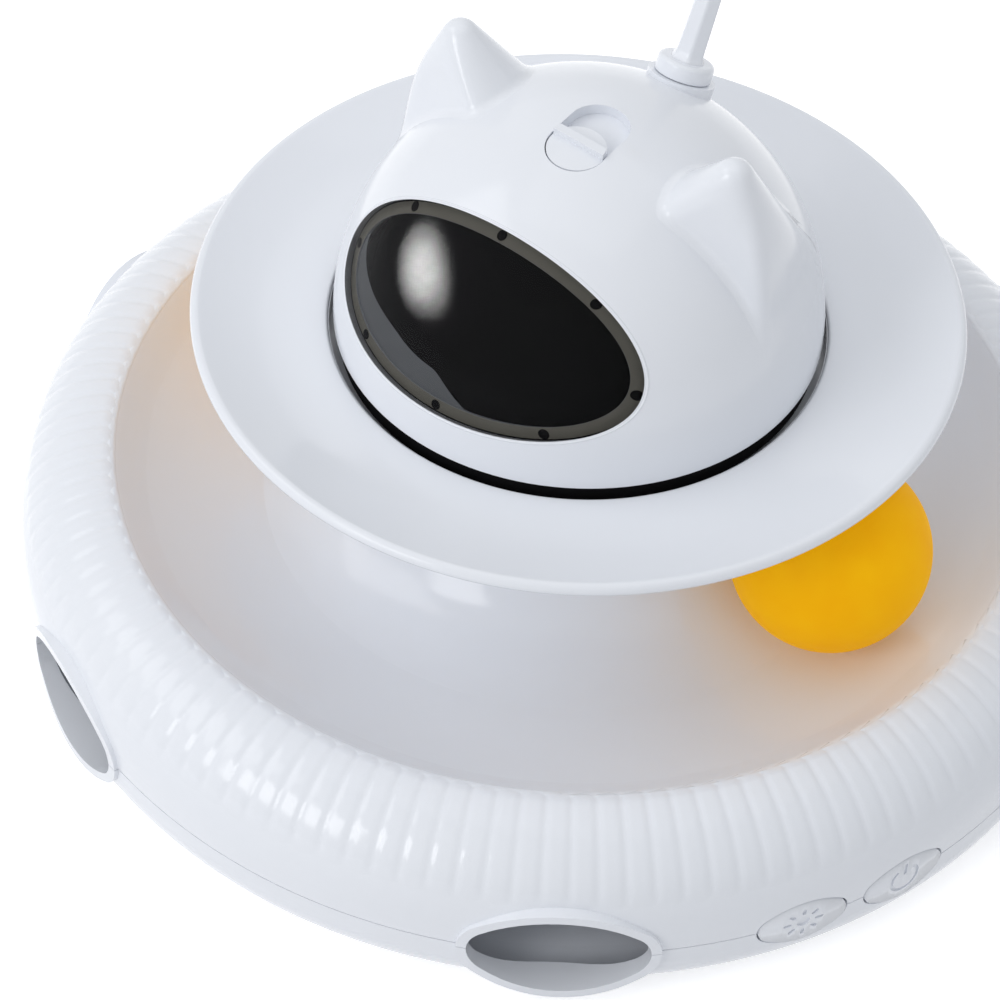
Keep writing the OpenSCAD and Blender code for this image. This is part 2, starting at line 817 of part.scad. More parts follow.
// Push button on the side of the pair given, with a flange behind the wall
module push_button(side) {
  facing(button_az + side * button_pitch / 2, seam_z) {
    translate([0, 0, button_back_r]) linear_extrude(flange_t) button_outline(flange_w);
    translate([0, 0, button_back_r - switch_gap]) cylinder(r = 1.5, h = flange_t);
  }
  intersection() {
    facing(button_az + side * button_pitch / 2, seam_z) translate([0, 0, button_back_r])
      linear_extrude(4 * wall) button_outline(0);
    cylinder(r = base_r + button_face, h = rim_z, $fn = 720);
  }
}

module laser_button() {
  color("white") push_button(-1);
}

module power_button() {
  color("white") push_button(1);
}

module head_motor() {
  color("silver") at_motor() translate([0, 0, column_top_z - wall - motor_h]) motor();
}

module head_pinion() {
  color("ivory") at_motor() {
    translate([0, 0, head_gear_z]) pinion();
    translate([0, 0, column_top_z - wall - shaft_in])
      cylinder(r = shaft_r, h = head_gear_z + gear_t - column_top_z + wall + shaft_in);
  }
}

module head_bush() {
  color("goldenrod") {
    ring(bush_r, spindle_r + run_gap, well_floor_z - bush_l, well_floor_z + eps);
    ring(bush_flange_r, spindle_r + run_gap, well_floor_z, well_floor_z + bush_flange_t);
  }
}

// Children in the head's own frame: face towards -Y, origin at the head's centre
module in_head() {
  rotate([0, 0, head_yaw]) translate([0, 0, head_z]) children();
}

// Children at each screw boss of the head, at the height of the open edge
module at_head_bosses() {
  for (az = head_boss_az) rotate([0, 0, head_yaw + az])
    translate([head_boss_pcd / 2, 0, edge_z]) children();
}

module head_turntable() {
  color("black") difference() {
    union() {
      translate([0, 0, edge_z - table_t]) cylinder(r = table_r, h = table_t);
      ring(table_r, table_r - skirt_t, edge_z - table_t - table_skirt, edge_z - eps);
      translate([0, 0, spindle_end_z]) cylinder(r = spindle_r, h = edge_z - spindle_end_z);
      rotate([0, 0, head_yaw]) for (side = [-1, 1])
        translate([side * (head_board_w / 2 - 3), head_board_y, edge_z - eps])
          cylinder(r = head_post_r, h = head_board_z - edge_z);
    }
    at_head_bosses() translate([0, 0, -2 * table_t]) cylinder(r = screw_r + screw_slack, h = 4 * table_t);
    ring(spindle_r + 1, clip_groove_r, groove_z, groove_z + clip_t + 2 * run_gap);
  }
}

module head_gear() {
  color("ivory") difference() {
    union() {
      translate([0, 0, head_gear_z]) rotate([0, 0, motor_az]) large_gear();
      translate([0, 0, head_gear_z]) cylinder(r = spindle_r + 3, h = edge_z - table_t - head_gear_z);
    }
    translate([0, 0, well_floor_z]) cylinder(r = spindle_r + thread_gap, h = edge_z);
  }
}

module spindle_clip() {
  color("silver") difference() {
    ring(spindle_r + 2.2, clip_groove_r + run_gap, groove_z + run_gap, groove_z + run_gap + clip_t);
    translate([0, -1.5, 0]) cube([2 * spindle_r, 3, edge_z]);
  }
}

// Ear with the middle of its tip at the origin, grown by t: a cone with a round tip and a flat face
module ear(side, t) {
  tip_r = ear_tip_r + t;
  crown_z = tip_r * sin(ear_taper);
  crown_r = tip_r * cos(ear_taper) - ear_crossing;
  intersection() {
    union() {
      sphere(r = tip_r);
      translate([0, 0, -ear_l])
        cylinder(r1 = crown_r + (crown_z + ear_l) * tan(ear_taper), r2 = crown_r, h = crown_z + ear_l);
    }
    rotate([0, 0, side * ear_turn]) rotate([-ear_rake, 0, 0])
      translate([-head_d, -ear_face - t, -head_d]) cube(2 * head_d);
  }
}

// Both ears, grown by t
module ears(t) {
  for (side = [-1, 1])
    in_head() rotate([0, side * ear_polar, 0]) translate([0, ear_back, head_r + ear_h])
      rotate([0, side * (ear_lean - ear_polar), 0]) ear(side, t);
}

// Children on the axis of the visor, with local Z pointing out
module on_visor() {
  rotate([90 - visor_lift, 0, 0]) children();
}

// Outline of the visor, grown by t
module visor_outline(t) {
  half_h = visor_h / 2 + t;
  scale([(visor_w / 2 + t) / half_h, 1]) circle(r = half_h);
}

// Children on the axis of the switch pocket, with local Z pointing out
module on_slot() {
  rotate([slot_tilt, slot_turn, 0]) children();
}

// Children on the axis of the wand, with the origin on the head's surface
module on_wand() {
  in_head() rotate([-wand_polar, 0, 0]) translate([0, 0, head_r])
    rotate([wand_polar - wand_lean, 0, 0]) children();
}

module head_shell() {
  color("white") difference() {
    union() {
      difference() {
        union() {
          in_head() sphere(r = head_r);
          ears(0);
        }
        in_head() sphere(r = head_r - head_wall);
        translate([0, 0, edge_z - head_d]) cylinder(r = head_d, h = head_d);
      }
      intersection() {
        in_head() sphere(r = head_r - head_wall / 2);
        in_head() on_slot() translate([0, 0, slot_floor - slot_wall]) linear_extrude(head_r)
          stadium(slot_l + 2 * slot_wall, slot_w + 2 * slot_wall);
      }
      intersection() {
        in_head() sphere(r = head_r - head_wall / 2);
        at_head_bosses() cylinder(r = head_boss_r, h = head_d);
      }
      on_wand() translate([0, 0, -peg_l - 2]) cylinder(d = socket_d, h = peg_l + 2 + socket_rise);
    }
    ears(-ear_wall);
    in_head() on_visor() difference() {
      linear_extrude(head_d) visor_outline(0);
      sphere(r = head_r - visor_t);
    }
    in_head() on_visor() linear_extrude(head_d) visor_outline(-visor_ledge);
    in_head() on_visor() visor_stakes(pin_r + pin_gap);
    in_head() on_slot() translate([0, 0, slot_floor]) linear_extrude(head_r) stadium(slot_l, slot_w);
    in_head() on_slot() translate([0, stem_y, slot_floor - 3 * slot_wall]) linear_extrude(head_r)
      stadium(knob_travel + 2 * (stem_r + stem_gap), 2 * (stem_r + stem_gap));
    at_head_bosses() translate([0, 0, -1]) cylinder(r = screw_r + thread_gap, h = head_screw_l + 1);
    on_wand() translate([0, 0, -peg_l - 0.5]) cylinder(r = peg_r + run_gap, h = peg_l + 2 * socket_rise);
  }
}

module head_screws() {
  color("silver") at_head_bosses() translate([0, 0, -table_t]) screw(head_screw_l);
}

// Stakes of the visor on the middle of its ledge
module visor_stakes(r) {
  for (a = pin_az)
    translate([(visor_w - visor_ledge) / 2 * cos(a), (visor_h - visor_ledge) / 2 * sin(a), 0])
      cylinder(r = r, h = head_d);
}

module visor() {
  color([0.1, 0.1, 0.1, 0.7]) in_head() {
    intersection() {
      difference() {
        sphere(r = head_r);
        sphere(r = head_r - visor_t + run_gap);
      }
      on_visor() linear_extrude(head_d) visor_outline(-fit_gap);
    }
    intersection() {
      difference() {
        sphere(r = head_r - visor_t / 2);
        sphere(r = head_r - head_wall - pin_r);
      }
      on_visor() visor_stakes(pin_r);
    }
  }
}

// Children on the laser's axis, with local Z pointing out through the visor
module on_laser() {
  in_head() translate([0, laser_y, laser_z - head_z]) rotate([90 + laser_dip, 0, 0]) children();
}

module laser_module() {
  color("goldenrod") on_laser() difference() {
    translate([0, 0, -laser_l / 2]) cylinder(r = laser_r, h = laser_l);
    translate([0, 0, laser_l / 2 - 2]) cylinder(r = 1.5, h = 4);
  }
}

// Bracket of the laser, with a dark shield close behind the visor
module laser_bracket() {
  back_y = laser_y + bracket_d / 2;
  color("dimgray") difference() {
    union() {
      rotate([0, 0, head_yaw]) translate([-bracket_w / 2, 0, edge_z]) {
        translate([0, back_y - bracket_d, 0])
          cube([bracket_w, bracket_d, laser_z - edge_z + laser_r + bracket_t]);
        translate([0, bracket_t - shield_r, 0])
          cube([bracket_w, shield_r - bracket_t + back_y + bracket_toe, bracket_t]);
        translate([0, bracket_t - shield_r, 0])
          cube([bracket_w, bracket_t, head_z + shield_stem_z - edge_z]);
      }
      in_head() intersection() {
        difference() {
          sphere(r = shield_r);
          sphere(r = shield_r - shield_t);
        }
        on_visor() linear_extrude(head_d) visor_outline(0);
      }
    }
    on_laser() translate([0, 0, -laser_l]) cylinder(r = laser_r + run_gap, h = 3 * laser_l / 2);
    on_laser() cylinder(r = beam_r, h = head_d);
  }
}

module head_board() {
  color("seagreen") rotate([0, 0, head_yaw])
    translate([-head_board_w / 2, head_board_y - head_board_d / 2, head_board_z]) {
      cube([head_board_w, head_board_d, board_t]);
      translate([head_board_w / 6, head_board_d / 4, board_t]) cube(head_chip);
      translate([head_board_w * 0.6, head_board_d / 5, board_t]) cube(head_plug);
    }
}

module slide_switch() {
  color("silver") in_head() on_slot() translate([0, stem_y, slot_floor - slot_wall - switch_body[2] / 2])
    cube(switch_body, center = true);
}

module slider_knob() {
  color("white") in_head() on_slot() translate([0, -knob_travel / 2, 0]) {
    intersection() {
      translate([0, 0, slot_floor + fit_gap]) cylinder(r = knob_r, h = slot_depth);
      translate([0, 0, slot_floor + knob_crown - head_r]) sphere(r = head_r);
    }
    intersection() {
      translate([-knob_r, 0.4, slot_floor + fit_gap]) cube([2 * knob_r, 1.8, knob_crown + 1]);
      translate([0, 0, slot_floor]) cylinder(r = knob_r, h = 2 * slot_depth);
    }
    translate([0, stem_y, slot_floor - slot_wall + 0.2]) cylinder(r = stem_r, h = slot_wall);
  }
}

module wand_collar() {
  bevel = 0.8;
  color("white") on_wand() {
    translate([0, 0, -peg_l]) cylinder(r = peg_r, h = peg_l + socket_rise + 1);
    translate([0, 0, socket_rise + fit_gap]) cylinder(d = collar_d, h = collar_h - fit_gap - bevel);
    translate([0, 0, socket_rise + collar_h - bevel])
      cylinder(d1 = collar_d, d2 = collar_d - 2 * bevel, h = bevel);
  }
}

module wand_rod() {
  color("white") on_wand() {
    translate([0, 0, rod_start]) cylinder(d1 = rod_d, d2 = rod_neck_d, h = rod_foot_l, $fn = 6);
    translate([0, 0, rod_neck]) cylinder(d1 = rod_neck_d, d2 = rod_tip_d, h = rod_l, $fn = 6);
  }
}

module wand_tip() {
  color("white") on_wand() difference() {
    translate([0, 0, rod_end]) {
      cylinder(r = tip_r, h = tip_l - tip_r);
      translate([0, 0, tip_l - tip_r]) sphere(r = tip_r);
    }
    translate([0, 0, rod_end + tip_l - plume_in - eps]) cylinder(r = quill_r + run_gap, h = 2 * plume_in);
  }
}

module wand_plume() {
  color("orange") on_wand() translate([0, 0, rod_end + tip_l - plume_in]) {
    cylinder(r = quill_r, h = plume_stem);
    translate([0, plume_t / 2, plume_l / 2 + plume_gap]) rotate([90, 0, 0]) linear_extrude(plume_t)
      rotate(90) oval(plume_l / 2, plume_w / 2, plume_edge);
  }
}

module ball(az) {
  rotate([0, 0, az]) translate([track_r, 0, track_z + ball_r + ball_gap]) sphere(r = ball_r);
}

module ball_1() {
  color("orange") ball(ball_1_az);
}

module ball_2() {
  color("orange") ball(ball_2_az);
}

base_tray();
base_shell();
deck();
rubber_feet();
case_screws();
deck_screws();
chassis_plate();
chassis_screws();
feather_motor();
feather_pinion();
feather_carrier();
carrier_keeper();
feather_clip();
ambush_feather();
battery_cell();
battery_holder();
main_board();
charge_socket();
button_board();
button_switches();
laser_button();
power_button();
head_motor();
head_pinion();
head_bush();
head_turntable();
head_gear();
spindle_clip();
head_shell();
head_screws();
visor();
laser_module();
laser_bracket();
head_board();
slide_switch();
slider_knob();
wand_collar();
wand_rod();
wand_tip();
wand_plume();
ball_1();
ball_2();
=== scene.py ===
"""Looks of an electronic cat toy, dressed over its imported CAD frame, in metres."""
import logging
import math
import random
from dataclasses import dataclass
from enum import Enum
from functools import cached_property
from typing import Callable, Sequence

import bmesh
import bpy
from mathutils import Matrix, Vector


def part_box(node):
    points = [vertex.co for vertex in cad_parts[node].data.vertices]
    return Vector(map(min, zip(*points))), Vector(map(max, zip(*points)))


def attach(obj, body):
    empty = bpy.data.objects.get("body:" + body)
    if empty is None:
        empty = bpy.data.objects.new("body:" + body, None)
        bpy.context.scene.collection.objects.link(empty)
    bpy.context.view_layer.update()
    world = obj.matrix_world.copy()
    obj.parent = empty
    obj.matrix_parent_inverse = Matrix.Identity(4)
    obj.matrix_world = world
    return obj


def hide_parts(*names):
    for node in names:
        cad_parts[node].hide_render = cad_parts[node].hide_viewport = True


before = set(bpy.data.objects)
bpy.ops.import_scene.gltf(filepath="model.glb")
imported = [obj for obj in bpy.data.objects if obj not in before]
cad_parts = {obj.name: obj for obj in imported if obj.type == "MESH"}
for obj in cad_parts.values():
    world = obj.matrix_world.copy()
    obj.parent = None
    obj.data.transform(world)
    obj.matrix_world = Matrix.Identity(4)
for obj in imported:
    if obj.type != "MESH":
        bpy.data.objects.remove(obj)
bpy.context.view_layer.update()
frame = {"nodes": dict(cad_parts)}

LOG = logging.getLogger("cat_toy")
Triple = tuple[float, float, float]
Colour = Triple
MM = 0.001


class Body(str, Enum):
    """Bodies of the frame that pieces ride on."""

    BASE = "base"
    HEAD = "head"
    SLIDER = "slider"
    LASER_BUTTON = "laser_button"
    POWER_BUTTON = "power_button"
    CARRIER = "carrier"
    BALL_1 = "ball_1"
    BALL_2 = "ball_2"


def direction(azimuth: float, elevation: float) -> Vector:
    """Unit vector of a direction, in degrees from +X towards +Y and above the floor."""
    a, e = math.radians(azimuth), math.radians(elevation)
    return Vector((math.cos(a) * math.cos(e), math.sin(a) * math.cos(e), math.sin(e)))


def smoothstep(low: float, high: float, x: float) -> float:
    """Smooth ramp from 0 at low to 1 at high."""
    t = min(1.0, max(0.0, (x - low) / (high - low)))
    return t * t * (3 - 2 * t)


def full_turn(count: int) -> list[float]:
    """Angles of a full turn in equal steps, in radians."""
    return [2 * math.pi * k / count for k in range(count)]


def quarter_turn(steps: int) -> list[float]:
    """Angles of a quarter turn in equal steps, both ends included, in radians."""
    return [math.pi / 2 * k / steps for k in range(steps + 1)]


class Graph:
    """Node tree of one material, with short calls to add and join nodes."""

    def __init__(self, name: str) -> None:
        """Start a material with one principled shader.

        Args:
            name: The material's name.
        """
        self.material = bpy.data.materials.new(name)
        self.material.use_nodes = True
        self.nodes = self.material.node_tree.nodes
        self.links = self.material.node_tree.links
        self.shader = self.nodes["Principled BSDF"]

    def feed(self, node: bpy.types.Node, key: str | int, value: object) -> None:
        """Join a socket to an input, or set the input's value.

        Args:
            node: The node that takes it.
            key: The input's name or number.
            value: An output socket, a number or a tuple.
        """
        if isinstance(value, bpy.types.NodeSocket):
            self.links.new(value, node.inputs[key])
        else:
            node.inputs[key].default_value = value

    def add(self, kind: str, inputs: dict | None = None, **settings: object) -> bpy.types.Node:
        """Add a node.

        Args:
            kind: The node's type without its ShaderNode prefix.
            inputs: Values or sockets by input name.
            **settings: Properties of the node.

        Returns:
            The new node.
        """
        node = self.nodes.new("ShaderNode" + kind)
        for key, value in settings.items():
            setattr(node, key, value)
        for key, value in (inputs or {}).items():
            self.feed(node, key, value)
        return node

    def place(self) -> bpy.types.NodeSocket:
        """Place of a point in the part's own frame."""
        return self.add("TexCoord").outputs["Object"]

    def noise(self, at: bpy.types.NodeSocket, scale: float, detail: float = 2.0) -> bpy.types.NodeSocket:
        """Soft noise from 0 to 1, at a scale in waves per metre."""
        return self.add("TexNoise", {"Vector": at, "Scale": scale, "Detail": detail}).outputs["Fac"]

    def span(self, value: bpy.types.NodeSocket, low: float = 0.0, high: float = 1.0,
             start: float = 0.3, end: float = 0.7) -> bpy.types.NodeSocket:
        """Map a value, so that it gives low at start and high at end."""
        return self.add("MapRange", {"Value": value, "From Min": start, "From Max": end,
                                     "To Min": low, "To Max": high}).outputs["Result"]

    def blend(self, share: object, a: object, b: object) -> bpy.types.NodeSocket:
        """Mix two colours.

        Args:
            share: Share of b.
            a: A colour or a socket.
            b: A colour or a socket.

        Returns:
            The mixed colour.
        """
        node = self.add("Mix", data_type="RGBA")
        for index, value in ((0, share), (6, a), (7, b)):
            self.feed(node, index, (*value, 1.0) if isinstance(value, tuple) else value)
        return node.outputs[2]

    def bump(self, height: bpy.types.NodeSocket, distance: float, strength: float) -> None:
        """Raise the surface by a height from 0 to 1, where 1 is as high as the distance."""
        node = self.add("Bump", {"Height": height, "Distance": distance, "Strength": strength})
        self.links.new(node.outputs["Normal"], self.shader.inputs["Normal"])

    def surface(self, **values: object) -> None:
        """Set the shader's inputs.

        Args:
            **values: Values or sockets by input name, with _ for a blank.
        """
        for key, value in values.items():
            name = " ".join(w if w == "IOR" else w.capitalize() for w in key.split("_"))
            self.feed(self.shader, name, value)


@dataclass(frozen=True)
class MouldedPlastic:
    """Injection-moulded plastic with a slow drift of pigment and polish.

    Attributes:
        name: The material's name.
        colour: Main colour.
        drift: Colour that the pigment drifts to.
        polish: Lowest and highest roughness.
        peel: Height of the moulding's fine waves.
        gloss: Level of its reflections.
        waves: Waves of pigment per metre.
        glow: Painted glow: light that the plastic gives off of its own, as a share of its colour, standing in
            for light bounced off and let through a thin wall.
    """

    name: str
    colour: Colour
    drift: Colour
    polish: tuple[float, float] = (0.14, 0.24)
    peel: float = 0.00002
    gloss: float = 0.4
    waves: float = 14.0
    glow: float = 0.0

    def make(self) -> bpy.types.Material:
        """Build the material.

        Returns:
            The material.
        """
        g = Graph(self.name)
        at = g.place()
        pigment = g.span(g.noise(at, scale=self.waves, detail=3.0))
        tint = g.blend(pigment, self.colour, self.drift)
        # Emission of the plastic's own colour, as strong as glow: painted light, not a lamp.
        g.surface(base_color=tint, emission_color=tint, emission_strength=self.glow,
                  roughness=g.span(g.noise(at, scale=55.0, detail=3.0), *self.polish),
                  specular_IOR_level=self.gloss, IOR=1.49)
        g.bump(g.noise(at, scale=420.0), distance=self.peel, strength=0.5)
        return g.material


@dataclass(frozen=True)
class SmokedLens:
    """Polished smoked acrylic that holds back part of the light.

    Attributes:
        name: The material's name.
        smoke: Colour of the smoke.
        density: Share of the light that each face holds back.
    """

    name: str
    smoke: Colour
    density: float

    def make(self) -> bpy.types.Material:
        """Build the material.

        Returns:
            The material.
        """
        g = Graph(self.name)
        at = g.place()
        haze = tuple(1.6 * c for c in self.smoke)
        g.surface(base_color=g.blend(g.span(g.noise(at, scale=30.0)), self.smoke, haze),
                  roughness=g.span(g.noise(at, scale=260.0, detail=4.0), 0.05, 0.09),
                  alpha=self.density, specular_IOR_level=0.10, IOR=1.49)
        return g.material


@dataclass(frozen=True)
class Metal:
    """Machined or drawn metal with fine lines in one direction.

    Attributes:
        name: The material's name.
        colour: Main colour.
        worn: Colour of the lines.
        polish: Lowest and highest roughness.
        stretch: Waves per metre along X, Y and Z.
    """

    name: str
    colour: Colour
    worn: Colour
    polish: tuple[float, float] = (0.22, 0.42)
    stretch: Triple = (300.0, 300.0, 4000.0)

    def make(self) -> bpy.types.Material:
        """Build the material.

        Returns:
            The material.
        """
        g = Graph(self.name)
        at = g.add("Mapping", {"Vector": g.place(), "Scale": self.stretch}).outputs["Vector"]
        lines = g.noise(at, scale=1.0, detail=3.0)
        g.surface(base_color=g.blend(g.span(lines), self.colour, self.worn),
                  roughness=g.span(lines, *self.polish), metallic=1.0)
        g.bump(lines, distance=0.00003, strength=0.4)
        return g.material


@dataclass(frozen=True)
class Rubber:
    """Matt moulded rubber with a fine grain.

    Attributes:
        name: The material's name.
        colour: Main colour.
        dust: Colour of the raised grain.
    """

    name: str
    colour: Colour
    dust: Colour

    def make(self) -> bpy.types.Material:
        """Build the material.

        Returns:
            The material.
        """
        g = Graph(self.name)
        at = g.place()
        grain = g.noise(at, scale=2600.0, detail=3.0)
        g.surface(base_color=g.blend(g.span(grain), self.colour, self.dust),
                  roughness=g.span(g.noise(at, scale=90.0), 0.62, 0.82))
        g.bump(grain, distance=0.00012, strength=0.7)
        return g.material


@dataclass(frozen=True)
class CircuitBoard:
    """Solder mask with copper tracks, and dark components above the board.

    Attributes:
        name: The material's name.
        axis: Number of the axis along the board's thickness.
        top: Height of the board's face on that axis.
    """

    name: str
    axis: int
    top: float

    def make(self) -> bpy.types.Material:
        """Build the material.

        Returns:
            The material.
        """
        g = Graph(self.name)
        at = g.place()
        tracks = g.add("TexBrick", {"Vector": at, "Scale": 260.0, "Mortar Size": 0.05,
                                    "Color1": (0.015, 0.12, 0.05, 1), "Color2": (0.02, 0.15, 0.06, 1),
                                    "Mortar": (0.05, 0.26, 0.10, 1)}, offset=0.37)
        level = g.add("SeparateXYZ", {"Vector": at}).outputs[self.axis]
        above = g.add("Math", {0: level, 1: self.top}, operation="GREATER_THAN").outputs[0]
        grain = g.noise(at, scale=900.0, detail=2.0)
        dark = g.blend(g.span(grain), (0.012, 0.012, 0.014), (0.03, 0.03, 0.034))
        g.surface(base_color=g.blend(above, tracks.outputs["Color"], dark),
                  roughness=g.span(grain, 0.28, 0.5))
        g.bump(tracks.outputs["Fac"], distance=0.00005, strength=0.5)
        return g.material


@dataclass(frozen=True)
class CellWrap:
    """Shrink wrap of a cell, with bare metal at its ends.

    Attributes:
        name: The material's name.
        colour: Colour of the wrap.
        half: Half the length of the wrap along X.
    """

    name: str
    colour: Colour
    half: float

    def make(self) -> bpy.types.Material:
        """Build the material.

        Returns:
            The material.
        """
        g = Graph(self.name)
        at = g.place()
        along = g.add("SeparateXYZ", {"Vector": at}).outputs[0]
        far = g.add("Math", {0: along}, operation="ABSOLUTE").outputs[0]
        bare = g.add("Math", {0: far, 1: self.half}, operation="GREATER_THAN").outputs[0]
        wrap = g.blend(g.span(g.noise(at, scale=120.0)), self.colour,
                       tuple(0.8 * c for c in self.colour))
        g.surface(base_color=g.blend(bare, wrap, (0.62, 0.62, 0.64)), metallic=bare,
                  roughness=g.span(g.noise(at, scale=400.0), 0.25, 0.4))
        return g.material


@dataclass(frozen=True)
class FeatherDye:
    """Dyed barbs, paler towards the shaft and mottled along it.

    Attributes:
        name: The material's name.
        colour: Colour at the tips.
        pale: Colour at the shaft.
    """

    name: str
    colour: Colour
    pale: Colour

    def make(self) -> bpy.types.Material:
        """Build the material.

        Returns:
            The material.
        """
        g = Graph(self.name)
        at = g.place()
        mottle = g.noise(at, scale=380.0, detail=3.0)
        g.surface(base_color=g.blend(g.span(mottle), self.pale, self.colour),
                  roughness=g.span(mottle, 0.55, 0.8), sheen_weight=0.3, sheen_roughness=0.4)
        return g.material


class Finish:
    """All finishes of the toy, made once."""

    def __init__(self) -> None:
        """Make every material."""
        self.white = MouldedPlastic("white_gloss", (0.838, 0.86, 0.91), (0.824, 0.848, 0.90),
                                    polish=(0.11, 0.17), peel=0.00001).make()
        self.inner = MouldedPlastic("inner_grey", (0.60, 0.61, 0.63), (0.56, 0.57, 0.59),
                                    polish=(0.4, 0.55)).make()
        self.acetal = MouldedPlastic("natural_acetal", (0.78, 0.75, 0.66), (0.74, 0.70, 0.60),
                                     polish=(0.3, 0.45)).make()
        self.black = MouldedPlastic("black_gloss", (0.012, 0.011, 0.012), (0.018, 0.016, 0.018),
                                    polish=(0.1, 0.2)).make()
        self.shade = MouldedPlastic("black_matt", (0.006, 0.006, 0.007), (0.010, 0.009, 0.010),
                                    polish=(0.5, 0.7), gloss=0.06).make()
        self.clip = MouldedPlastic("orange_clip", (0.85, 0.36, 0.03), (0.80, 0.32, 0.02),
                                   polish=(0.3, 0.4)).make()
        # The ball's glow is painted light: it brightens the ball and stands in for the orange light it
        # bounces onto the track.
        self.ball = MouldedPlastic("ball_orange", (0.97, 0.495, 0.003), (0.93, 0.44, 0.002),
                                   polish=(0.45, 0.6), peel=0.0001, gloss=0.06, waves=90.0,
                                   glow=0.16).make()
        self.gasket = MouldedPlastic("gasket_olive", (0.50, 0.48, 0.41), (0.46, 0.44, 0.37),
                                     polish=(0.45, 0.6)).make()
        # Grey plastic of the sheet painted as the deck's reflection in the visor.
        self.painted_reflection = MouldedPlastic("grey_painted_reflection", (0.40, 0.42, 0.45), (0.36, 0.38, 0.41),
                                     polish=(0.5, 0.6)).make()
        self.lens = SmokedLens("smoked_lens", (0.0015, 0.0015, 0.0017), density=0.34).make()
        self.steel = Metal("zinc_steel", (0.66, 0.66, 0.67), (0.52, 0.52, 0.54)).make()
        self.can = Metal("drawn_can", (0.58, 0.59, 0.60), (0.46, 0.47, 0.49), polish=(0.28, 0.45),
                         stretch=(2500.0, 2500.0, 60.0)).make()
        self.brass = Metal("turned_brass", (0.72, 0.50, 0.20), (0.58, 0.38, 0.14), polish=(0.2, 0.36)).make()
        self.rubber = Rubber("foot_rubber", (0.055, 0.055, 0.058), (0.085, 0.085, 0.088)).make()
        self.cell = CellWrap("cell_wrap", (0.05, 0.16, 0.36), half=24.4 * MM).make()
        self.orange_down = FeatherDye("orange_barbs", (0.80, 0.30, 0.02), (0.86, 0.48, 0.10)).make()
        self.yellow_down = FeatherDye("yellow_barbs", (0.84, 0.56, 0.05), (0.88, 0.70, 0.25)).make()
        self.white_down = FeatherDye("white_barbs", (0.78, 0.78, 0.78), (0.84, 0.83, 0.80)).make()


def mesh_piece(name: str, points: Sequence[Vector], faces: Sequence[Sequence[int]],
               material: bpy.types.Material, smooth: bool = True) -> bpy.types.Object:
    """Make an object from points and faces.

    Args:
        name: The piece's name.
        points: Its vertices.
        faces: Vertex numbers of each face.
        material: Its finish.
        smooth: Whether its faces are shaded smooth.

    Returns:
        The new object.
    """
    mesh = bpy.data.meshes.new(name)
    mesh.from_pydata([tuple(p) for p in points], [], [tuple(f) for f in faces])
    mesh.materials.append(material)
    mesh.polygons.foreach_set("use_smooth", [smooth] * len(mesh.polygons))
    mesh.update()
    obj = bpy.data.objects.new(name, mesh)
    bpy.context.scene.collection.objects.link(obj)
    return obj


def bmesh_clean(obj: bpy.types.Object) -> None:
    """Join points that lie on each other and turn all faces outwards.

    Args:
        obj: The piece.
    """
    mesh = bmesh.new()
    mesh.from_mesh(obj.data)
    bmesh.ops.remove_doubles(mesh, verts=mesh.verts, dist=1e-7)
    bmesh.ops.recalc_face_normals(mesh, faces=mesh.faces)
    mesh.to_mesh(obj.data)
    mesh.free()


def grid_faces(rows: int, columns: int, wrap: bool) -> list[tuple[int, ...]]:
    """Quads of a grid of points, row by row.

    Args:
        rows: Number of rows.
        columns: Points in a row.
        wrap: Whether each row closes on itself.

    Returns:
        The quads.
    """
    last = columns if wrap else columns - 1
    return [(r * columns + c, r * columns + (c + 1) % columns,
             (r + 1) * columns + (c + 1) % columns, (r + 1) * columns + c)
            for r in range(rows - 1) for c in range(last)]


def circle(radius: float, z: float, sides: int) -> list[Vector]:
    """Points of a level circle about the axis."""
    return [Vector((radius * math.cos(a), radius * math.sin(a), z)) for a in full_turn(sides)]


def tube(name: str, path: Sequence[Vector], radius: Callable[[float], float],
         material: bpy.types.Material, closed: bool = False, sides: int = 10) -> bpy.types.Object:
    """Make a round tube along a path.

    Args:
        name: The piece's name.
        path: Points along the middle.
        radius: Radius at a share of the length.
        material: Its finish.
        closed: Whether the path closes on itself.
        sides: Points round the tube.

    Returns:
        The new object.
    """
    count, points = len(path), []
    normal, nearly_along = Vector((0, 0, 1)), 0.95
    for i, at in enumerate(path):
        ahead = path[(i + 1) % count] if closed else path[min(i + 1, count - 1)]
        behind = path[i - 1] if closed else path[max(i - 1, 0)]
        along = (ahead - behind).normalized()
        if abs(along.dot(normal)) > nearly_along:
            normal = along.orthogonal()
        side = along.cross(normal).normalized()
        normal = side.cross(along).normalized()
        r = radius(i / (count - 1))
        points += [at + (side * math.cos(a) + normal * math.sin(a)) * r for a in full_turn(sides)]
    faces = grid_faces(count, sides, True)
    if closed:
        faces += [((count - 1) * sides + k, (count - 1) * sides + (k + 1) % sides, (k + 1) % sides, k)
                  for k in range(sides)]
    else:
        faces += [tuple(reversed(range(sides))), tuple(range((count - 1) * sides, count * sides))]
    return mesh_piece(name, points, faces, material)


class Part:
    """A sub-assembly that dresses nodes of the frame and adds pieces."""

    def __init__(self, finish: Finish) -> None:
        """Keep the finishes."""
        self.finish = finish

    def paint(self, node: str, material: bpy.types.Material) -> None:
        """Give a node its finish.

        Args:
            node: The node's name.
            material: Its finish.
        """
        obj = frame["nodes"][node]
        obj.data.materials.clear()
        obj.data.materials.append(material)
        LOG.info("painted %s with %s", node, material.name)

    def add(self, obj: bpy.types.Object, body: Body, slot: str, *nodes: str) -> None:
        """Let a new piece ride on a body.

        Args:
            obj: The piece.
            body: The body that it moves with.
            slot: Name of a material slot; not used.
            *nodes: Nodes that it stands for.
        """
        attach(obj, body.value)
        if nodes:
            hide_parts(*nodes)
        LOG.info("built %s on %s", obj.name, body.value)


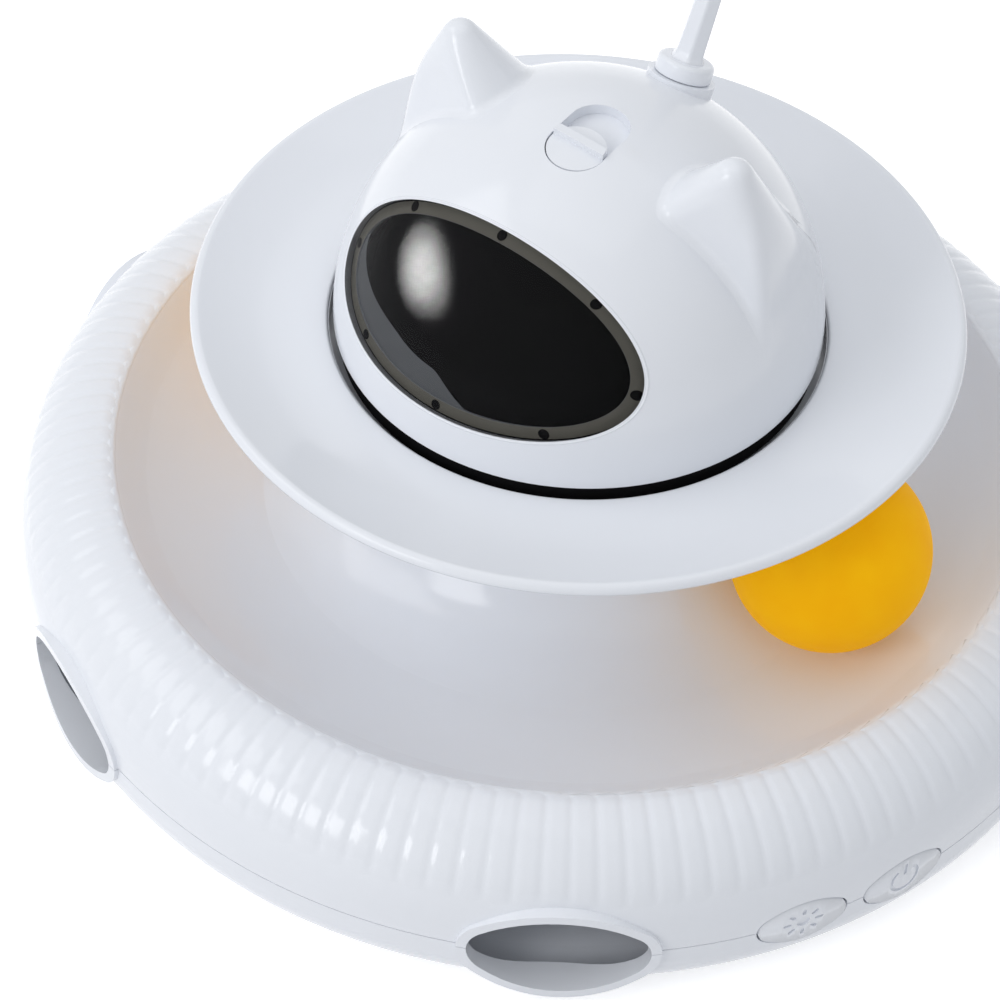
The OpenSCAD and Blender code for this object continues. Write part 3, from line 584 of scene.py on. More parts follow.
@dataclass
class ShoulderRibs:
    """Fine upright ribs on the shoulder of the base shell, and the soft crest of its rim.

    The skin's half section runs up the shoulder's arc, over a round crest and down the track's arc.

    Attributes:
        count: Ribs round the base.
        shoulder: Centre of the shoulder's arc, out from the axis and up.
        shoulder_r: Radius of the shoulder's arc.
        track: Centre of the track's outer arc, out from the axis and up.
        track_r: Radius of the track's outer arc.
        crest_r: Radius of the round crest.
        low: Angle of the ribs' lower ends, in degrees.
        fade: Length over which the ribs' lower ends fade out, in degrees.
        rise: Height of a rib.
        groove: Depth of the grooves between the ribs.
        sunk: Depth of the skin's edges below the shell.
        reach: Length of the skin down the track, in degrees.
        crest_fade: Share of the crest after which the grooves fade out.
    """

    count: int = 129
    shoulder: tuple[float, float] = (94 * MM, 21 * MM)
    shoulder_r: float = 19 * MM
    track: tuple[float, float] = (63 * MM, 74.04 * MM)
    track_r: float = 46.04 * MM
    crest_r: float = 4.5 * MM
    low: float = 19.0
    fade: float = 14.0
    rise: float = 0.35 * MM
    groove: float = 0.24 * MM
    sunk: float = 0.06 * MM
    reach: float = 13.0
    crest_fade: float = 0.25

    def crest(self) -> Vector:
        """Centre of the crest's arc, which touches the raised shoulder and the raised track.

        Returns:
            The centre, out from the axis and up.
        """
        first, second = Vector(self.shoulder), Vector(self.track)
        near = self.shoulder_r + self.rise - self.crest_r
        far = self.track_r - self.rise + self.crest_r
        line = second - first
        along = (near ** 2 - far ** 2 + line.length_squared) / (2 * line.length)
        aside = math.sqrt(near ** 2 - along ** 2)
        unit = line.normalized()
        return first + unit * along + Vector((unit.y, -unit.x)) * aside

    def section(self) -> list[tuple[Vector, Vector, float, float]]:
        """Half section of the skin from the ribs' lower ends to the track.

        Returns:
            Place, direction out of the surface, depth of the grooves and drop of the whole skin at each row.
        """
        rows = []
        crest = self.crest()
        top = math.degrees(math.atan2(crest.y - self.shoulder[1], crest.x - self.shoulder[0]))
        inner = math.degrees(math.atan2(crest.y - self.track[1], crest.x - self.track[0]))
        full = self.rise + self.sunk
        shoulder_steps, crest_steps, track_steps = 26, 8, 12
        for k in range(shoulder_steps + 1):
            angle = self.low + (top - self.low) * k / shoulder_steps
            out = Vector((math.cos(math.radians(angle)), math.sin(math.radians(angle))))
            body = smoothstep(self.low, self.low + self.fade, angle)
            rows.append((Vector(self.shoulder) + out * (self.shoulder_r + self.rise), out, self.groove * body,
                         full * (1 - body)))
        turn = inner + 180 - top
        for k in range(1, crest_steps + 1):
            angle = math.radians(top + turn * k / crest_steps)
            out = Vector((math.cos(angle), math.sin(angle)))
            depth = self.groove * (1 - smoothstep(self.crest_fade, 1.0, k / crest_steps))
            rows.append((crest + out * self.crest_r, out, depth, 0.0))
        for k in range(1, track_steps + 1):
            angle = math.radians(inner - self.reach * k / track_steps)
            out = Vector((-math.cos(angle), -math.sin(angle)))
            rows.append((Vector(self.track) - out * (self.track_r - self.rise), out, 0.0,
                         full * smoothstep(0.0, 1.0, k / track_steps)))
        return rows

    def build(self, material: bpy.types.Material) -> bpy.types.Object:
        """Make the ribbed skin.

        Args:
            material: Its finish.

        Returns:
            The new object.
        """
        across, narrow = 10, 8
        columns = self.count * across
        points, rows = [], self.section()
        for place, out, groove, drop in rows:
            for column, a in enumerate(full_turn(columns)):
                dip = math.cos(math.pi * (column % across) / across) ** narrow
                at = place - out * (drop + groove * dip)
                points.append(Vector((at.x * math.cos(a), at.x * math.sin(a), at.y)))
        return mesh_piece("shoulder_ribs", points, grid_faces(len(rows), columns, True), material)


@dataclass
class DeckSaucer:
    """Smooth moulded top of the deck, from the well round the head over to the rolled rim.

    Attributes:
        well: Radius of the well's edge and height of the dish there.
        lip_r: Radius of the well's soft lip.
        lip_rise: Height of the skin over the dish at the lip.
        dish_r: Radius of the dish's arc in section.
        rim: Centre of the rolled rim, out from the axis and up.
        rim_r: Radius of the rolled rim.
        cover: Height of the skin over the dish.
        lip_in: Distance of the lip's middle from the well's edge.
        skirt: Length of the skin down the well's wall.
        level: Start of the level shelf out from the well's edge, and the length over which it ends.
        lift: Where the skin starts to lift to meet the rim, and how far inside the rim's centre it ends.
        tuck: Turn of the rolled rim below the level, in radians.
    """

    well: tuple[float, float] = (49.3 * MM, 73 * MM)
    lip_r: float = 0.75 * MM
    lip_rise: float = 0.76 * MM
    dish_r: float = 69.31 * MM
    rim: tuple[float, float] = (75.15 * MM, 76.8 * MM)
    rim_r: float = 1.4 * MM
    cover: float = 0.1 * MM
    lip_in: float = 0.9 * MM
    skirt: float = 0.6 * MM
    level: tuple[float, float] = (1.2 * MM, 13.5 * MM)
    lift: tuple[float, float] = (62 * MM, 0.5 * MM)
    tuck: float = 2.0

    def dish(self, out: float) -> float:
        """Height of the skin.

        Args:
            out: Distance from the axis.

        Returns:
            The height above the floor.
        """
        start = self.well[0] + self.level[0]
        height = self.well[1] + self.dish_r - math.sqrt(self.dish_r ** 2 - (out - self.well[0]) ** 2)
        inner = (self.lip_rise - self.cover) * (1 - smoothstep(start, start + self.level[1], out))
        outer = 2 * self.cover * smoothstep(self.lift[0], self.rim[0] - self.lift[1], out)
        return height + self.cover + inner + outer

    def build(self, material: bpy.types.Material) -> bpy.types.Object:
        """Turn the skin's half section about the axis.

        Args:
            material: Its finish.

        Returns:
            The new object.
        """
        lip_steps, dish_steps, rim_steps, sides = 8, 40, 16, 256
        lip = self.well[0] + self.lip_in
        low = self.well[1] + self.lip_rise - self.lip_r
        section = [(lip - self.lip_r, low - self.skirt)]
        section += [(lip - self.lip_r * math.cos(t), low + self.lip_r * math.sin(t))
                    for t in quarter_turn(lip_steps)]
        slope = math.asin((self.rim[0] - self.well[0]) / self.dish_r)
        end = self.rim[0] - self.rim_r * math.sin(slope)
        section += [(r, self.dish(r))
                    for r in (lip + (end - lip) * k / dish_steps for k in range(1, dish_steps))]
        turns = [math.pi / 2 + slope - (slope + self.tuck) * k / rim_steps for k in range(rim_steps + 1)]
        section += [(self.rim[0] + self.rim_r * math.cos(t), self.rim[1] + self.rim_r * math.sin(t))
                    for t in turns]
        section.append((self.rim[0], self.rim[1] - self.rim_r / 2))
        points = [p for r, z in section for p in circle(r, z, sides)]
        return mesh_piece("deck_saucer", points, grid_faces(len(section), sides, True), material)


@dataclass
class ButtonSign:
    """A sign pressed into the face of a push button.

    Attributes:
        azimuth: Direction of the button in degrees.
        z: Height of its centre.
        face_r: Radius of its face.
        depth: Depth of the sign.
        proud: Height of the cutter over the face.
    """

    azimuth: float
    z: float = 16 * MM
    face_r: float = 113.2 * MM
    depth: float = 0.4 * MM
    proud: float = 1 * MM

    def prism(self, mesh: bmesh.types.BMesh, outline: Sequence[tuple[float, float]]) -> None:
        """Add a prism that stands across the face.

        Args:
            mesh: What it is added to.
            outline: Points in mm, to the right and up, seen from outside.
        """
        rings = []
        for r in (self.face_r - self.depth, self.face_r + self.proud):
            ring = []
            for right, up in outline:
                a = math.radians(self.azimuth) + right * MM / self.face_r
                ring.append(mesh.verts.new((r * math.cos(a), r * math.sin(a), self.z + up * MM)))
            rings.append(ring)
        count = len(outline)
        mesh.faces.new(list(reversed(rings[0])))
        mesh.faces.new(rings[1])
        for k in range(count):
            n = (k + 1) % count
            mesh.faces.new((rings[0][k], rings[0][n], rings[1][n], rings[1][k]))

    @staticmethod
    def bar(angle: float, start: float, end: float, width: float) -> list[tuple[float, float]]:
        """Outline of a bar with round ends that points away from the centre.

        Args:
            angle: Its direction in degrees.
            start: Distance of its inner end, in mm.
            end: Distance of its outer end, in mm.
            width: Its width, in mm.

        Returns:
            The outline.
        """
        a, h = math.radians(angle), width / 2
        turns = [math.radians(t) for t in range(-90, 91, 30)]
        points = [(end - h + h * math.cos(t), h * math.sin(t)) for t in turns]
        points += [(start + h - h * math.cos(t), -h * math.sin(t)) for t in turns]
        return [(x * math.cos(a) - y * math.sin(a), x * math.sin(a) + y * math.cos(a)) for x, y in points]

    @staticmethod
    def arc(inner: float, outer: float, start: float, end: float,
            steps: int = 40) -> list[tuple[float, float]]:
        """Outline of a part of a ring.

        Args:
            inner: Inner radius in mm.
            outer: Outer radius in mm.
            start: First angle in degrees.
            end: Last angle in degrees.
            steps: Steps along the arc.

        Returns:
            The outline.
        """
        turns = [math.radians(start + (end - start) * k / steps) for k in range(steps + 1)]
        return ([(outer * math.cos(t), outer * math.sin(t)) for t in turns]
                + [(inner * math.cos(t), inner * math.sin(t)) for t in reversed(turns)])

    def cutter(self, outlines: Sequence[Sequence[tuple[float, float]]]) -> bpy.types.Object:
        """Make the cutter of the whole sign.

        Args:
            outlines: Outlines of its strokes.

        Returns:
            The cutter.
        """
        mesh = bmesh.new()
        for outline in outlines:
            self.prism(mesh, outline)
        bmesh.ops.recalc_face_normals(mesh, faces=mesh.faces)
        data = bpy.data.meshes.new("sign_cutter")
        mesh.to_mesh(data)
        mesh.free()
        obj = bpy.data.objects.new("sign_cutter", data)
        bpy.context.scene.collection.objects.link(obj)
        return obj

    def press(self, name: str, node: str, outlines: Sequence[Sequence[tuple[float, float]]],
              material: bpy.types.Material) -> bpy.types.Object:
        """Copy a button and press the sign into it.

        Args:
            name: The new piece's name.
            node: The button's node.
            outlines: Outlines of the sign's strokes.
            material: Its finish.

        Returns:
            The new object.
        """
        obj = bpy.data.objects.new(name, frame["nodes"][node].data.copy())
        bpy.context.scene.collection.objects.link(obj)
        tool = self.cutter(outlines)
        cut = obj.modifiers.new("sign", "BOOLEAN")
        cut.operation, cut.solver, cut.object = "DIFFERENCE", "EXACT", tool
        bpy.context.view_layer.update()
        mesh = bpy.data.meshes.new_from_object(obj.evaluated_get(bpy.context.evaluated_depsgraph_get()))
        obj.modifiers.clear()
        obj.data = mesh
        bpy.data.objects.remove(tool)
        mesh.materials.clear()
        mesh.materials.append(material)
        return obj


class Base(Part):
    """Tray, ribbed shell, deck, feet, push buttons and what they carry."""

    def build(self) -> None:
        """Dress the base's nodes and add its ribs, the deck's top and the signs."""
        f = self.finish
        for node in ("base_tray", "base_shell", "deck"):
            self.paint(node, f.white)
        for node in ("case_screws", "deck_screws", "chassis_screws", "charge_socket", "spindle_clip"):
            self.paint(node, f.steel)
        self.paint("rubber_feet", f.rubber)
        self.paint("chassis_plate", f.inner)
        self.paint("battery_holder", f.shade)
        self.paint("battery_cell", f.cell)
        self.paint("main_board", CircuitBoard("main_board_mask", axis=2, top=41.5 * MM).make())
        # The button board's switches are nodes of their own, so none of it lies above its face.
        self.paint("button_board", CircuitBoard("button_board_mask", axis=2, top=1.0).make())
        self.paint("button_switches", f.black)
        self.add(ShoulderRibs().build(f.white), Body.BASE, "white_plastic")
        self.add(DeckSaucer().build(f.white), Body.BASE, "white_plastic")
        self.buttons()

    def buttons(self) -> None:
        """Press a sun and a power sign into the two buttons."""
        sun, power = ButtonSign(azimuth=-65.8), ButtonSign(azimuth=-54.2)
        line, wide, steps = 0.75, 1.15, 24
        strokes = [sun.bar(angle, start=2.1, end=3.7, width=line) for angle in range(0, 360, 45)]
        strokes.append(sun.arc(inner=0.0001, outer=1.2, start=0, end=358, steps=steps)[:steps + 1])
        rays = [[(wide * right, up) for right, up in stroke] for stroke in strokes]
        ring = [power.arc(inner=2.75, outer=2.75 + line, start=125, end=415),
                power.bar(90, start=1.0, end=4.2, width=line)]
        self.add(sun.press("laser_button_face", "laser_button", rays, self.finish.white),
                 Body.LASER_BUTTON, "white_plastic", "laser_button")
        self.add(power.press("power_button_face", "power_button", ring, self.finish.white),
                 Body.POWER_BUTTON, "white_plastic", "power_button")


@dataclass
class Feather:
    """A feather: a tapered shaft and a vane of seeded barbs on each side.

    Attributes:
        name: Start of its pieces' names.
        frame: Local X across the vane, Y out of it and Z along the shaft.
        length: Length of the vane.
        half: Half its width.
        depth: Room on each side of the vane.
        barbs: Barbs on each side.
        seed: Seed of the barbs' play.
        shaft: Length of bare shaft before the vane.
        foot: Share of the full width at the vane's foot, and its growth along the vane.
        point: Share of the length after which the vane narrows, and how slowly it does.
        rooted: Share of the vane's length along which barbs grow.
        barb: Half width of a barb at its root.
        barb_taper: Share of that width that is lost at its end.
        bend: Turn of a barb along its length, in radians.
        sweep: Power by which a barb turns towards the vane's end.
    """

    name: str
    frame: Matrix
    length: float
    half: float
    depth: float
    barbs: int
    seed: int
    shaft: float
    foot: tuple[float, float] = (0.25, 4.5)
    point: tuple[float, float] = (0.3, 0.52)
    rooted: float = 0.9
    barb: float = 0.42 * MM
    barb_taper: float = 0.8
    bend: float = 1.35
    sweep: float = 1.5

    def width(self, share: float) -> float:
        """Half width of the vane.

        Args:
            share: Share of the vane's length.

        Returns:
            The half width.
        """
        foot = min(1.0, self.foot[1] * share + self.foot[0])
        end = math.sqrt(max(0.0, 1 - max(0.0, share - self.point[0]) ** 2 / self.point[1]))
        return self.half * foot * end

    def vane(self, material: bpy.types.Material) -> bpy.types.Object:
        """Make all barbs as narrow curved strips.

        Args:
            material: Their finish.

        Returns:
            The new object.
        """
        play = random.Random(self.seed)
        points: list[Vector] = []
        faces: list[tuple[int, ...]] = []
        steps = 6
        for side in (-1, 1):
            for k in range(self.barbs):
                share = (k + play.random()) / self.barbs
                reach = self.width(share) * play.uniform(0.86, 1.0)
                start = self.length * self.rooted * share
                rise = min(reach * play.uniform(0.75, 1.0), self.length - start)
                sway = self.depth * play.uniform(-0.85, 0.85)
                thick = self.barb * play.uniform(0.8, 1.2)
                first = len(points)
                for s in range(steps + 1):
                    t = s / steps
                    x = side * reach * math.sin(t * self.bend) / math.sin(self.bend)
                    z = start + rise * t ** self.sweep
                    y = sway * t * t
                    w = thick * (1 - self.barb_taper * t)
                    points += [self.frame @ Vector((x, y, z + w)), self.frame @ Vector((x, y, z - w))]
                faces += [(first + 2 * s, first + 2 * s + 1, first + 2 * s + 3, first + 2 * s + 2)
                          for s in range(steps)]
        return mesh_piece(self.name + "_vane", points, faces, material)

    def quill(self, material: bpy.types.Material, radius: float) -> bpy.types.Object:
        """Make the tapered shaft.

        Args:
            material: Its finish.
            radius: Radius at its foot.

        Returns:
            The new object.
        """
        steps, end, taper = 24, 0.96 * self.length, 0.85
        path = [self.frame @ Vector((0, 0, -self.shaft + (self.shaft + end) * k / steps))
                for k in range(steps + 1)]
        return tube(self.name + "_quill", path, lambda t: radius * (1 - taper * t), material, sides=8)


class Drive(Part):
    """Feather drive and head drive inside the base."""

    def build(self) -> None:
        """Dress the drives and build the ambush feather."""
        f = self.finish
        for node in ("feather_motor", "head_motor"):
            self.paint(node, f.can)
        for node in ("feather_pinion", "head_pinion", "head_bush"):
            self.paint(node, f.brass)
        for node in ("feather_carrier", "head_gear"):
            self.paint(node, f.acetal)
        self.paint("carrier_keeper", f.steel)
        self.paint("feather_clip", f.clip)
        low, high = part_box("ambush_feather")
        middle, bare = (low + high) / 2, 13 * MM
        turn = Matrix(((0, 0, 1), (1, 0, 0), (0, 1, 0))).to_4x4()
        foot = Matrix.Translation((low.x + bare, middle.y, middle.z))
        feather = Feather("ambush_feather", foot @ turn, length=high.x - low.x - bare, half=6.9 * MM,
                          depth=1.6 * MM, barbs=46, seed=5, shaft=12 * MM)
        self.add(feather.vane(f.orange_down), Body.CARRIER, "feather", "ambush_feather")
        self.add(feather.quill(f.white_down, radius=0.65 * MM), Body.CARRIER, "feather")


@dataclass
class BallForm:
    """A hollow moulded ball with a fine joint line.

    Attributes:
        radius: Its radius.
        joint_depth: Depth of the joint line.
        joint_width: Half width of the joint line, in degrees.
        tilt: Lean of the joint line, in degrees.
    """

    radius: float = 20 * MM
    joint_depth: float = 0.12 * MM
    joint_width: float = 0.9
    tilt: float = 28.0

    def build(self, name: str, centre: Vector, material: bpy.types.Material) -> bpy.types.Object:
        """Make the ball.

        Args:
            name: The piece's name.
            centre: Its middle.
            material: Its finish.

        Returns:
            The new object.
        """
        lean = Matrix.Rotation(math.radians(self.tilt), 3, "X")
        cap, joint = range(4, 90, 2), (-1.4, -0.9, -0.45, 0.0, 0.45, 0.9, 1.4)
        rows = sorted([*(-latitude for latitude in cap), *joint, *cap])
        columns, points = 128, []
        for latitude in rows:
            dip = self.joint_depth * (1 - smoothstep(0.0, self.joint_width, abs(latitude)))
            e = math.radians(latitude)
            for a in full_turn(columns):
                out = Vector((math.cos(e) * math.cos(a), math.cos(e) * math.sin(a), math.sin(e)))
                points.append(centre + lean @ (out * (self.radius - dip)))
        faces = grid_faces(len(rows), columns, True)
        last = (len(rows) - 1) * columns
        for first, pole in ((0, -1), (last, 1)):
            points.append(centre + lean @ Vector((0, 0, pole * self.radius)))
            ring = [(first + k, first + (k + 1) % columns) for k in range(columns)]
            faces += [(a, b, len(points) - 1) if pole > 0 else (b, a, len(points) - 1) for a, b in ring]
        return mesh_piece(name, points, faces, material)


class Balls(Part):
    """The two balls of the track."""

    def build(self) -> None:
        """Build both balls at their nodes."""
        for node, body in (("ball_1", Body.BALL_1), ("ball_2", Body.BALL_2)):
            low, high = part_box(node)
            ball = BallForm((high.z - low.z) / 2).build(node + "_moulded", (low + high) / 2, self.finish.ball)
            self.add(ball, body, "ball_plastic", node)


@dataclass
class HeadFrame:
    """Places on the head, from its own frame to the part's.

    Attributes:
        yaw: Turn of the head about Z, in degrees.
        z: Height of the head's centre.
        radius: Radius of the head.
        face_tilt: Tilt of the visor's middle from upright, in degrees.
        wand_tilt: Tilt of the wand's foot from upright, in degrees.
        wand_lean: Lean of the wand from the head's surface, in degrees.
    """

    yaw: float = -36.0
    z: float = 76 * MM
    radius: float = 48.5 * MM
    face_tilt: float = 57.0
    wand_tilt: float = -38.0
    wand_lean: float = 12.0

    def own(self) -> Matrix:
        """Frame of the head, with the face towards -Y."""
        return Matrix.Rotation(math.radians(self.yaw), 4, "Z") @ Matrix.Translation((0, 0, self.z))

    def visor(self) -> Matrix:
        """Frame of the visor, with Z through its middle."""
        return self.own() @ Matrix.Rotation(math.radians(self.face_tilt), 4, "X")

    def wand(self) -> Matrix:
        """Frame of the wand, with Z along it and the origin on the head."""
        return (self.own() @ Matrix.Rotation(math.radians(self.wand_tilt), 4, "X")
                @ Matrix.Translation((0, 0, self.radius))
                @ Matrix.Rotation(math.radians(self.wand_lean), 4, "X"))


@dataclass
class VisorTrim:
    """Trim of the oval visor: a bright bead round it, and under it the gasket, painted shadow in its edge gap
    and stake holes, and a painted reflection of the deck.

    Attributes:
        head: Places on the head.
        half_w: Half width of the visor.
        half_h: Half height of the visor.
        bead_out: Distance of the bead's middle outside the visor.
        bead_r: Radius of the bead.
        bead_sunk: Depth of the bead's middle below the head's surface.
        gasket_w: Distance of the gasket's inner edge inside the visor's outline.
        shade_in: Distance of the outer edge of the dark strip, painted as the shadow in the gap round the
            visor, inside the visor's outline.
        shade_w: Distance of that strip's inner edge inside the visor's outline.
        gasket_sunk: Depth of the gasket below the head's surface.
        painted_reflection_sunk: Depth below the head's surface of the grey sheet painted as the deck's
            reflection in the visor.
        stakes: Angles of the stakes, in degrees.
        stake_in: Distance of the stakes inside the visor's outline.
        stake_r: Radius of a dark disc painted as the shade in a stake's hole.
        film_half: Half the thickness of a film.
        hole_shade_up: Height of the painted hole shades above the gasket.
        painted_reflection_arc: Angles round the visor where the painted reflection starts, is widest, narrows
            and ends, in degrees.
        painted_reflection_out: Outer edge of the painted reflection, as a share of the visor's outline.
        painted_reflection_in: Inner edge of the painted reflection at its ends and at its widest, as shares
            of the outline.
    """

    head: HeadFrame
    half_w: float = 34.5 * MM
    half_h: float = 19 * MM
    bead_out: float = 0.35 * MM
    bead_r: float = 0.32 * MM
    bead_sunk: float = 0.18 * MM
    gasket_w: float = 2.75 * MM
    shade_in: float = 0.05 * MM
    shade_w: float = 0.4 * MM
    gasket_sunk: float = 1.575 * MM
    painted_reflection_sunk: float = 1.9 * MM
    stakes: tuple[float, ...] = (0, 50, 90, 130, 180, 230, 270, 310)
    stake_in: float = 1.4 * MM
    stake_r: float = 1.0 * MM
    film_half: float = 0.01 * MM
    hole_shade_up: float = 0.016 * MM
    painted_reflection_arc: tuple[float, ...] = (156, 235, 262, 292)
    painted_reflection_out: float = 0.94
    painted_reflection_in: tuple[float, float] = (0.93, 0.59)

    def place(self, x: float, y: float, sunk: float) -> Vector:
        """Place on the head at a distance from the visor's middle."""
        return self.head.visor() @ Vector((x, y, math.sqrt((self.head.radius - sunk) ** 2 - x * x - y * y)))

    def oval(self, grow: float, sunk: float, count: int = 160) -> list[Vector]:
        """Points of the visor's outline.

        Args:
            grow: Distance outside the outline.
            sunk: Depth below the head's surface.
            count: Number of points.

        Returns:
            The points.
        """
        return [self.place((self.half_w + grow) * math.cos(a), (self.half_h + grow) * math.sin(a), sunk)
                for a in full_turn(count)]

    def bead(self, material: bpy.types.Material) -> bpy.types.Object:
        """Make the bright bead where the shell meets the visor."""
        path = self.oval(self.bead_out, self.bead_sunk)
        return tube("visor_bead", path, lambda t: self.bead_r, material, closed=True, sides=8)

    def film(self, name: str, outer: float, inner: float, material: bpy.types.Material) -> bpy.types.Object:
        """Make a thin oval film on the ledge under the visor's border.

        Args:
            name: The piece's name.
            outer: Distance of its outer edge inside the visor's outline.
            inner: Distance of its inner edge inside the visor's outline.
            material: Its finish.

        Returns:
            The new object.
        """
        half = self.film_half
        loop = ((outer, -half), (inner, -half), (inner, half), (outer, half), (outer, -half))
        rings = [self.oval(-inside, self.gasket_sunk + lower) for inside, lower in loop]
        points = [p for ring in rings for p in ring]
        return mesh_piece(name, points, grid_faces(len(rings), len(rings[0]), True), material, False)

    def painted_reflection(self, material: bpy.types.Material, count: int = 60) -> bpy.types.Object:
        """Make the grey sheet under the visor that is painted as the deck's reflection in its lower left,
        beside the dark shield.

        Args:
            material: Its finish.
            count: Steps along it.

        Returns:
            The new object.
        """
        outer, inner = [], []
        start, widest, narrows, end = self.painted_reflection_arc
        for k in range(count + 1):
            angle = start + (end - start) * k / count
            wide = smoothstep(start, widest, angle) * (1 - smoothstep(narrows, end, angle))
            share = self.painted_reflection_in[0] + (self.painted_reflection_in[1] - self.painted_reflection_in[0]) * wide
            x, y = self.half_w * math.cos(math.radians(angle)), self.half_h * math.sin(math.radians(angle))
            outer.append(self.place(self.painted_reflection_out * x, self.painted_reflection_out * y, self.painted_reflection_sunk))
            inner.append(self.place(share * x, share * y, self.painted_reflection_sunk))
        return mesh_piece("visor_painted_reflection", outer + inner, grid_faces(2, count + 1, False), material)

    def hole_shades(self, name: str, angles: Sequence[float], material: bpy.types.Material) -> bpy.types.Object:
        """Make round discs on the gasket, painted as the shade in the stake holes.

        Args:
            name: The piece's name.
            angles: Their angles round the visor, in degrees.
            material: Their finish.

        Returns:
            The new object.
        """
        points, faces, sides = [], [], 24
        sunk = self.gasket_sunk - self.hole_shade_up
        for angle in angles:
            a = math.radians(angle)
            x, y = (self.half_w - self.stake_in) * math.cos(a), (self.half_h - self.stake_in) * math.sin(a)
            first = len(points)
            points.append(self.place(x, y, sunk))
            points += [self.place(x + p.x, y + p.y, sunk) for p in circle(self.stake_r, 0.0, sides)]
            faces += [(first, first + 1 + k, first + 1 + (k + 1) % sides) for k in range(sides)]
        return mesh_piece(name, points, faces, material)


@dataclass
class EarSkin:
    """Soft skin over an ear, with rounded ridges and a fillet at its foot.

    Attributes:
        side: -1 for the left ear and 1 for the right one.
        head: Places on the head.
        polar: Angle of the ear from the top of the head, in degrees.
        lean: Lean of its axis from upright, in degrees.
        back: Distance behind the head's middle.
        rise: Height of the tip's centre over the head.
        tip_r: Radius of the tip.
        taper: Half angle of the ear's cone, in degrees.
        face: Distance of its flat face from the axis.
        turn: Turn of the flat face, in degrees.
        rake: Lean of the flat face, in degrees.
        flank: Distance of the outer flank from the head's axis at the head's middle, and its lean.
        sunk: Depth of the skin's edge below the head.
        ridge: Width of the rounding along the ridges.
        foot: Width of the fillet.
        root: Depth below the tip of the point that the skin is seen from.
        reach: Longest ray from that point.
        spread: Least and greatest angle of the skin's edge from the axis, in radians.
    """

    side: int
    head: HeadFrame
    polar: float = 31.7
    lean: float = 9.0
    back: float = 1 * MM
    rise: float = 12 * MM
    tip_r: float = 3.8 * MM
    taper: float = 35.0
    face: float = 4.6 * MM
    turn: float = 16.0
    rake: float = 8.0
    flank: tuple[float, float] = (47.3 * MM, 0.15)
    sunk: float = 0.06 * MM
    ridge: float = 2.2 * MM
    foot: float = 1.6 * MM
    root: float = 19 * MM
    reach: float = 45 * MM
    spread: tuple[float, float] = (0.3, 2.4)

    @cached_property
    def on_head(self) -> Matrix:
        """Frame of the ear in the head's own frame, with Z along its axis."""
        return (Matrix.Rotation(math.radians(self.side * self.polar), 4, "Y")
                @ Matrix.Translation((0, self.back, self.head.radius + self.rise))
                @ Matrix.Rotation(math.radians(self.side * (self.lean - self.polar)), 4, "Y"))

    @cached_property
    def outward(self) -> Vector:
        """Direction in which the flat face looks."""
        turn = Matrix.Rotation(math.radians(self.side * self.turn), 3, "Z")
        return turn @ Matrix.Rotation(math.radians(-self.rake), 3, "X") @ Vector((0, -1, 0))

    def cone(self, p: Vector) -> float:
        """Distance of a point from the round-tipped cone.

        Args:
            p: The point in the ear's frame.

        Returns:
            The distance, below 0 inside.
        """
        taper, out = math.radians(self.taper), math.hypot(p.x, p.y)
        if math.atan2(out, p.z) < math.pi / 2 - taper:
            return p.length - self.tip_r
        return out * math.cos(taper) + p.z * math.sin(taper) - self.tip_r

    def distances(self, p: Vector) -> tuple[float, float]:
        """Distances of a point from the ear and from the head.

        Args:
            p: The point in the ear's frame.

        Returns:
            Both distances, below 0 inside.
        """
        on_head = self.on_head @ p
        out, lean = self.flank
        flank = (math.hypot(on_head.x, on_head.y) + lean * on_head.z - out) / math.hypot(1.0, lean)
        ear = self.cone(p)
        for other in (self.outward.dot(p) - self.face, flank):
            ear = max(ear, other) + max(self.ridge - abs(ear - other), 0.0) ** 2 / (4 * self.ridge)
        return ear, on_head.length - self.head.radius + self.sunk

    def hit(self, polar: float, around: float) -> Vector:
        """Where a ray from the ear's root leaves the skin.

        Args:
            polar: Angle of the ray from the ear's axis.
            around: Angle of the ray about the axis.

        Returns:
            The place in the ear's frame.
        """
        root = Vector((0, 0, -self.root))
        aside = math.sin(polar)
        ray = Vector((aside * math.cos(around), aside * math.sin(around), math.cos(polar)))
        near, far, halvings = 0.0, self.reach, 18
        for _ in range(halvings):
            half = (near + far) / 2
            ear, ball = self.distances(root + ray * half)
            if min(ear, ball) < max(self.foot - abs(ear - ball), 0.0) ** 2 / (4 * self.foot):
                near = half
            else:
                far = half
        return root + ray * near

    def edge(self, around: float) -> float:
        """Angle from the axis at which the fillet ends on the head.

        Args:
            around: Angle about the axis.

        Returns:
            The angle.
        """
        (near, far), halvings = self.spread, 10
        for _ in range(halvings):
            half = (near + far) / 2
            ear, ball = self.distances(self.hit(half, around))
            near, far = (half, far) if ear - ball < self.foot else (near, half)
        return near

    def build(self, material: bpy.types.Material) -> bpy.types.Object:
        """Make the skin from rays that leave a point inside the ear's root.

        Args:
            material: Its finish.

        Returns:
            The new object.
        """
        place = self.head.own() @ self.on_head
        rows, columns, points, first = 60, 96, [], 0.01
        turns = full_turn(columns)
        edges = [self.edge(a) for a in turns]
        for row in range(rows):
            share = first + (1 - first) * row / (rows - 1)
            points += [place @ self.hit(share * edge, a) for a, edge in zip(turns, edges)]
        faces = grid_faces(rows, columns, True) + [tuple(reversed(range(columns)))]
        return mesh_piece("ear_left" if self.side < 0 else "ear_right", points, faces, material)


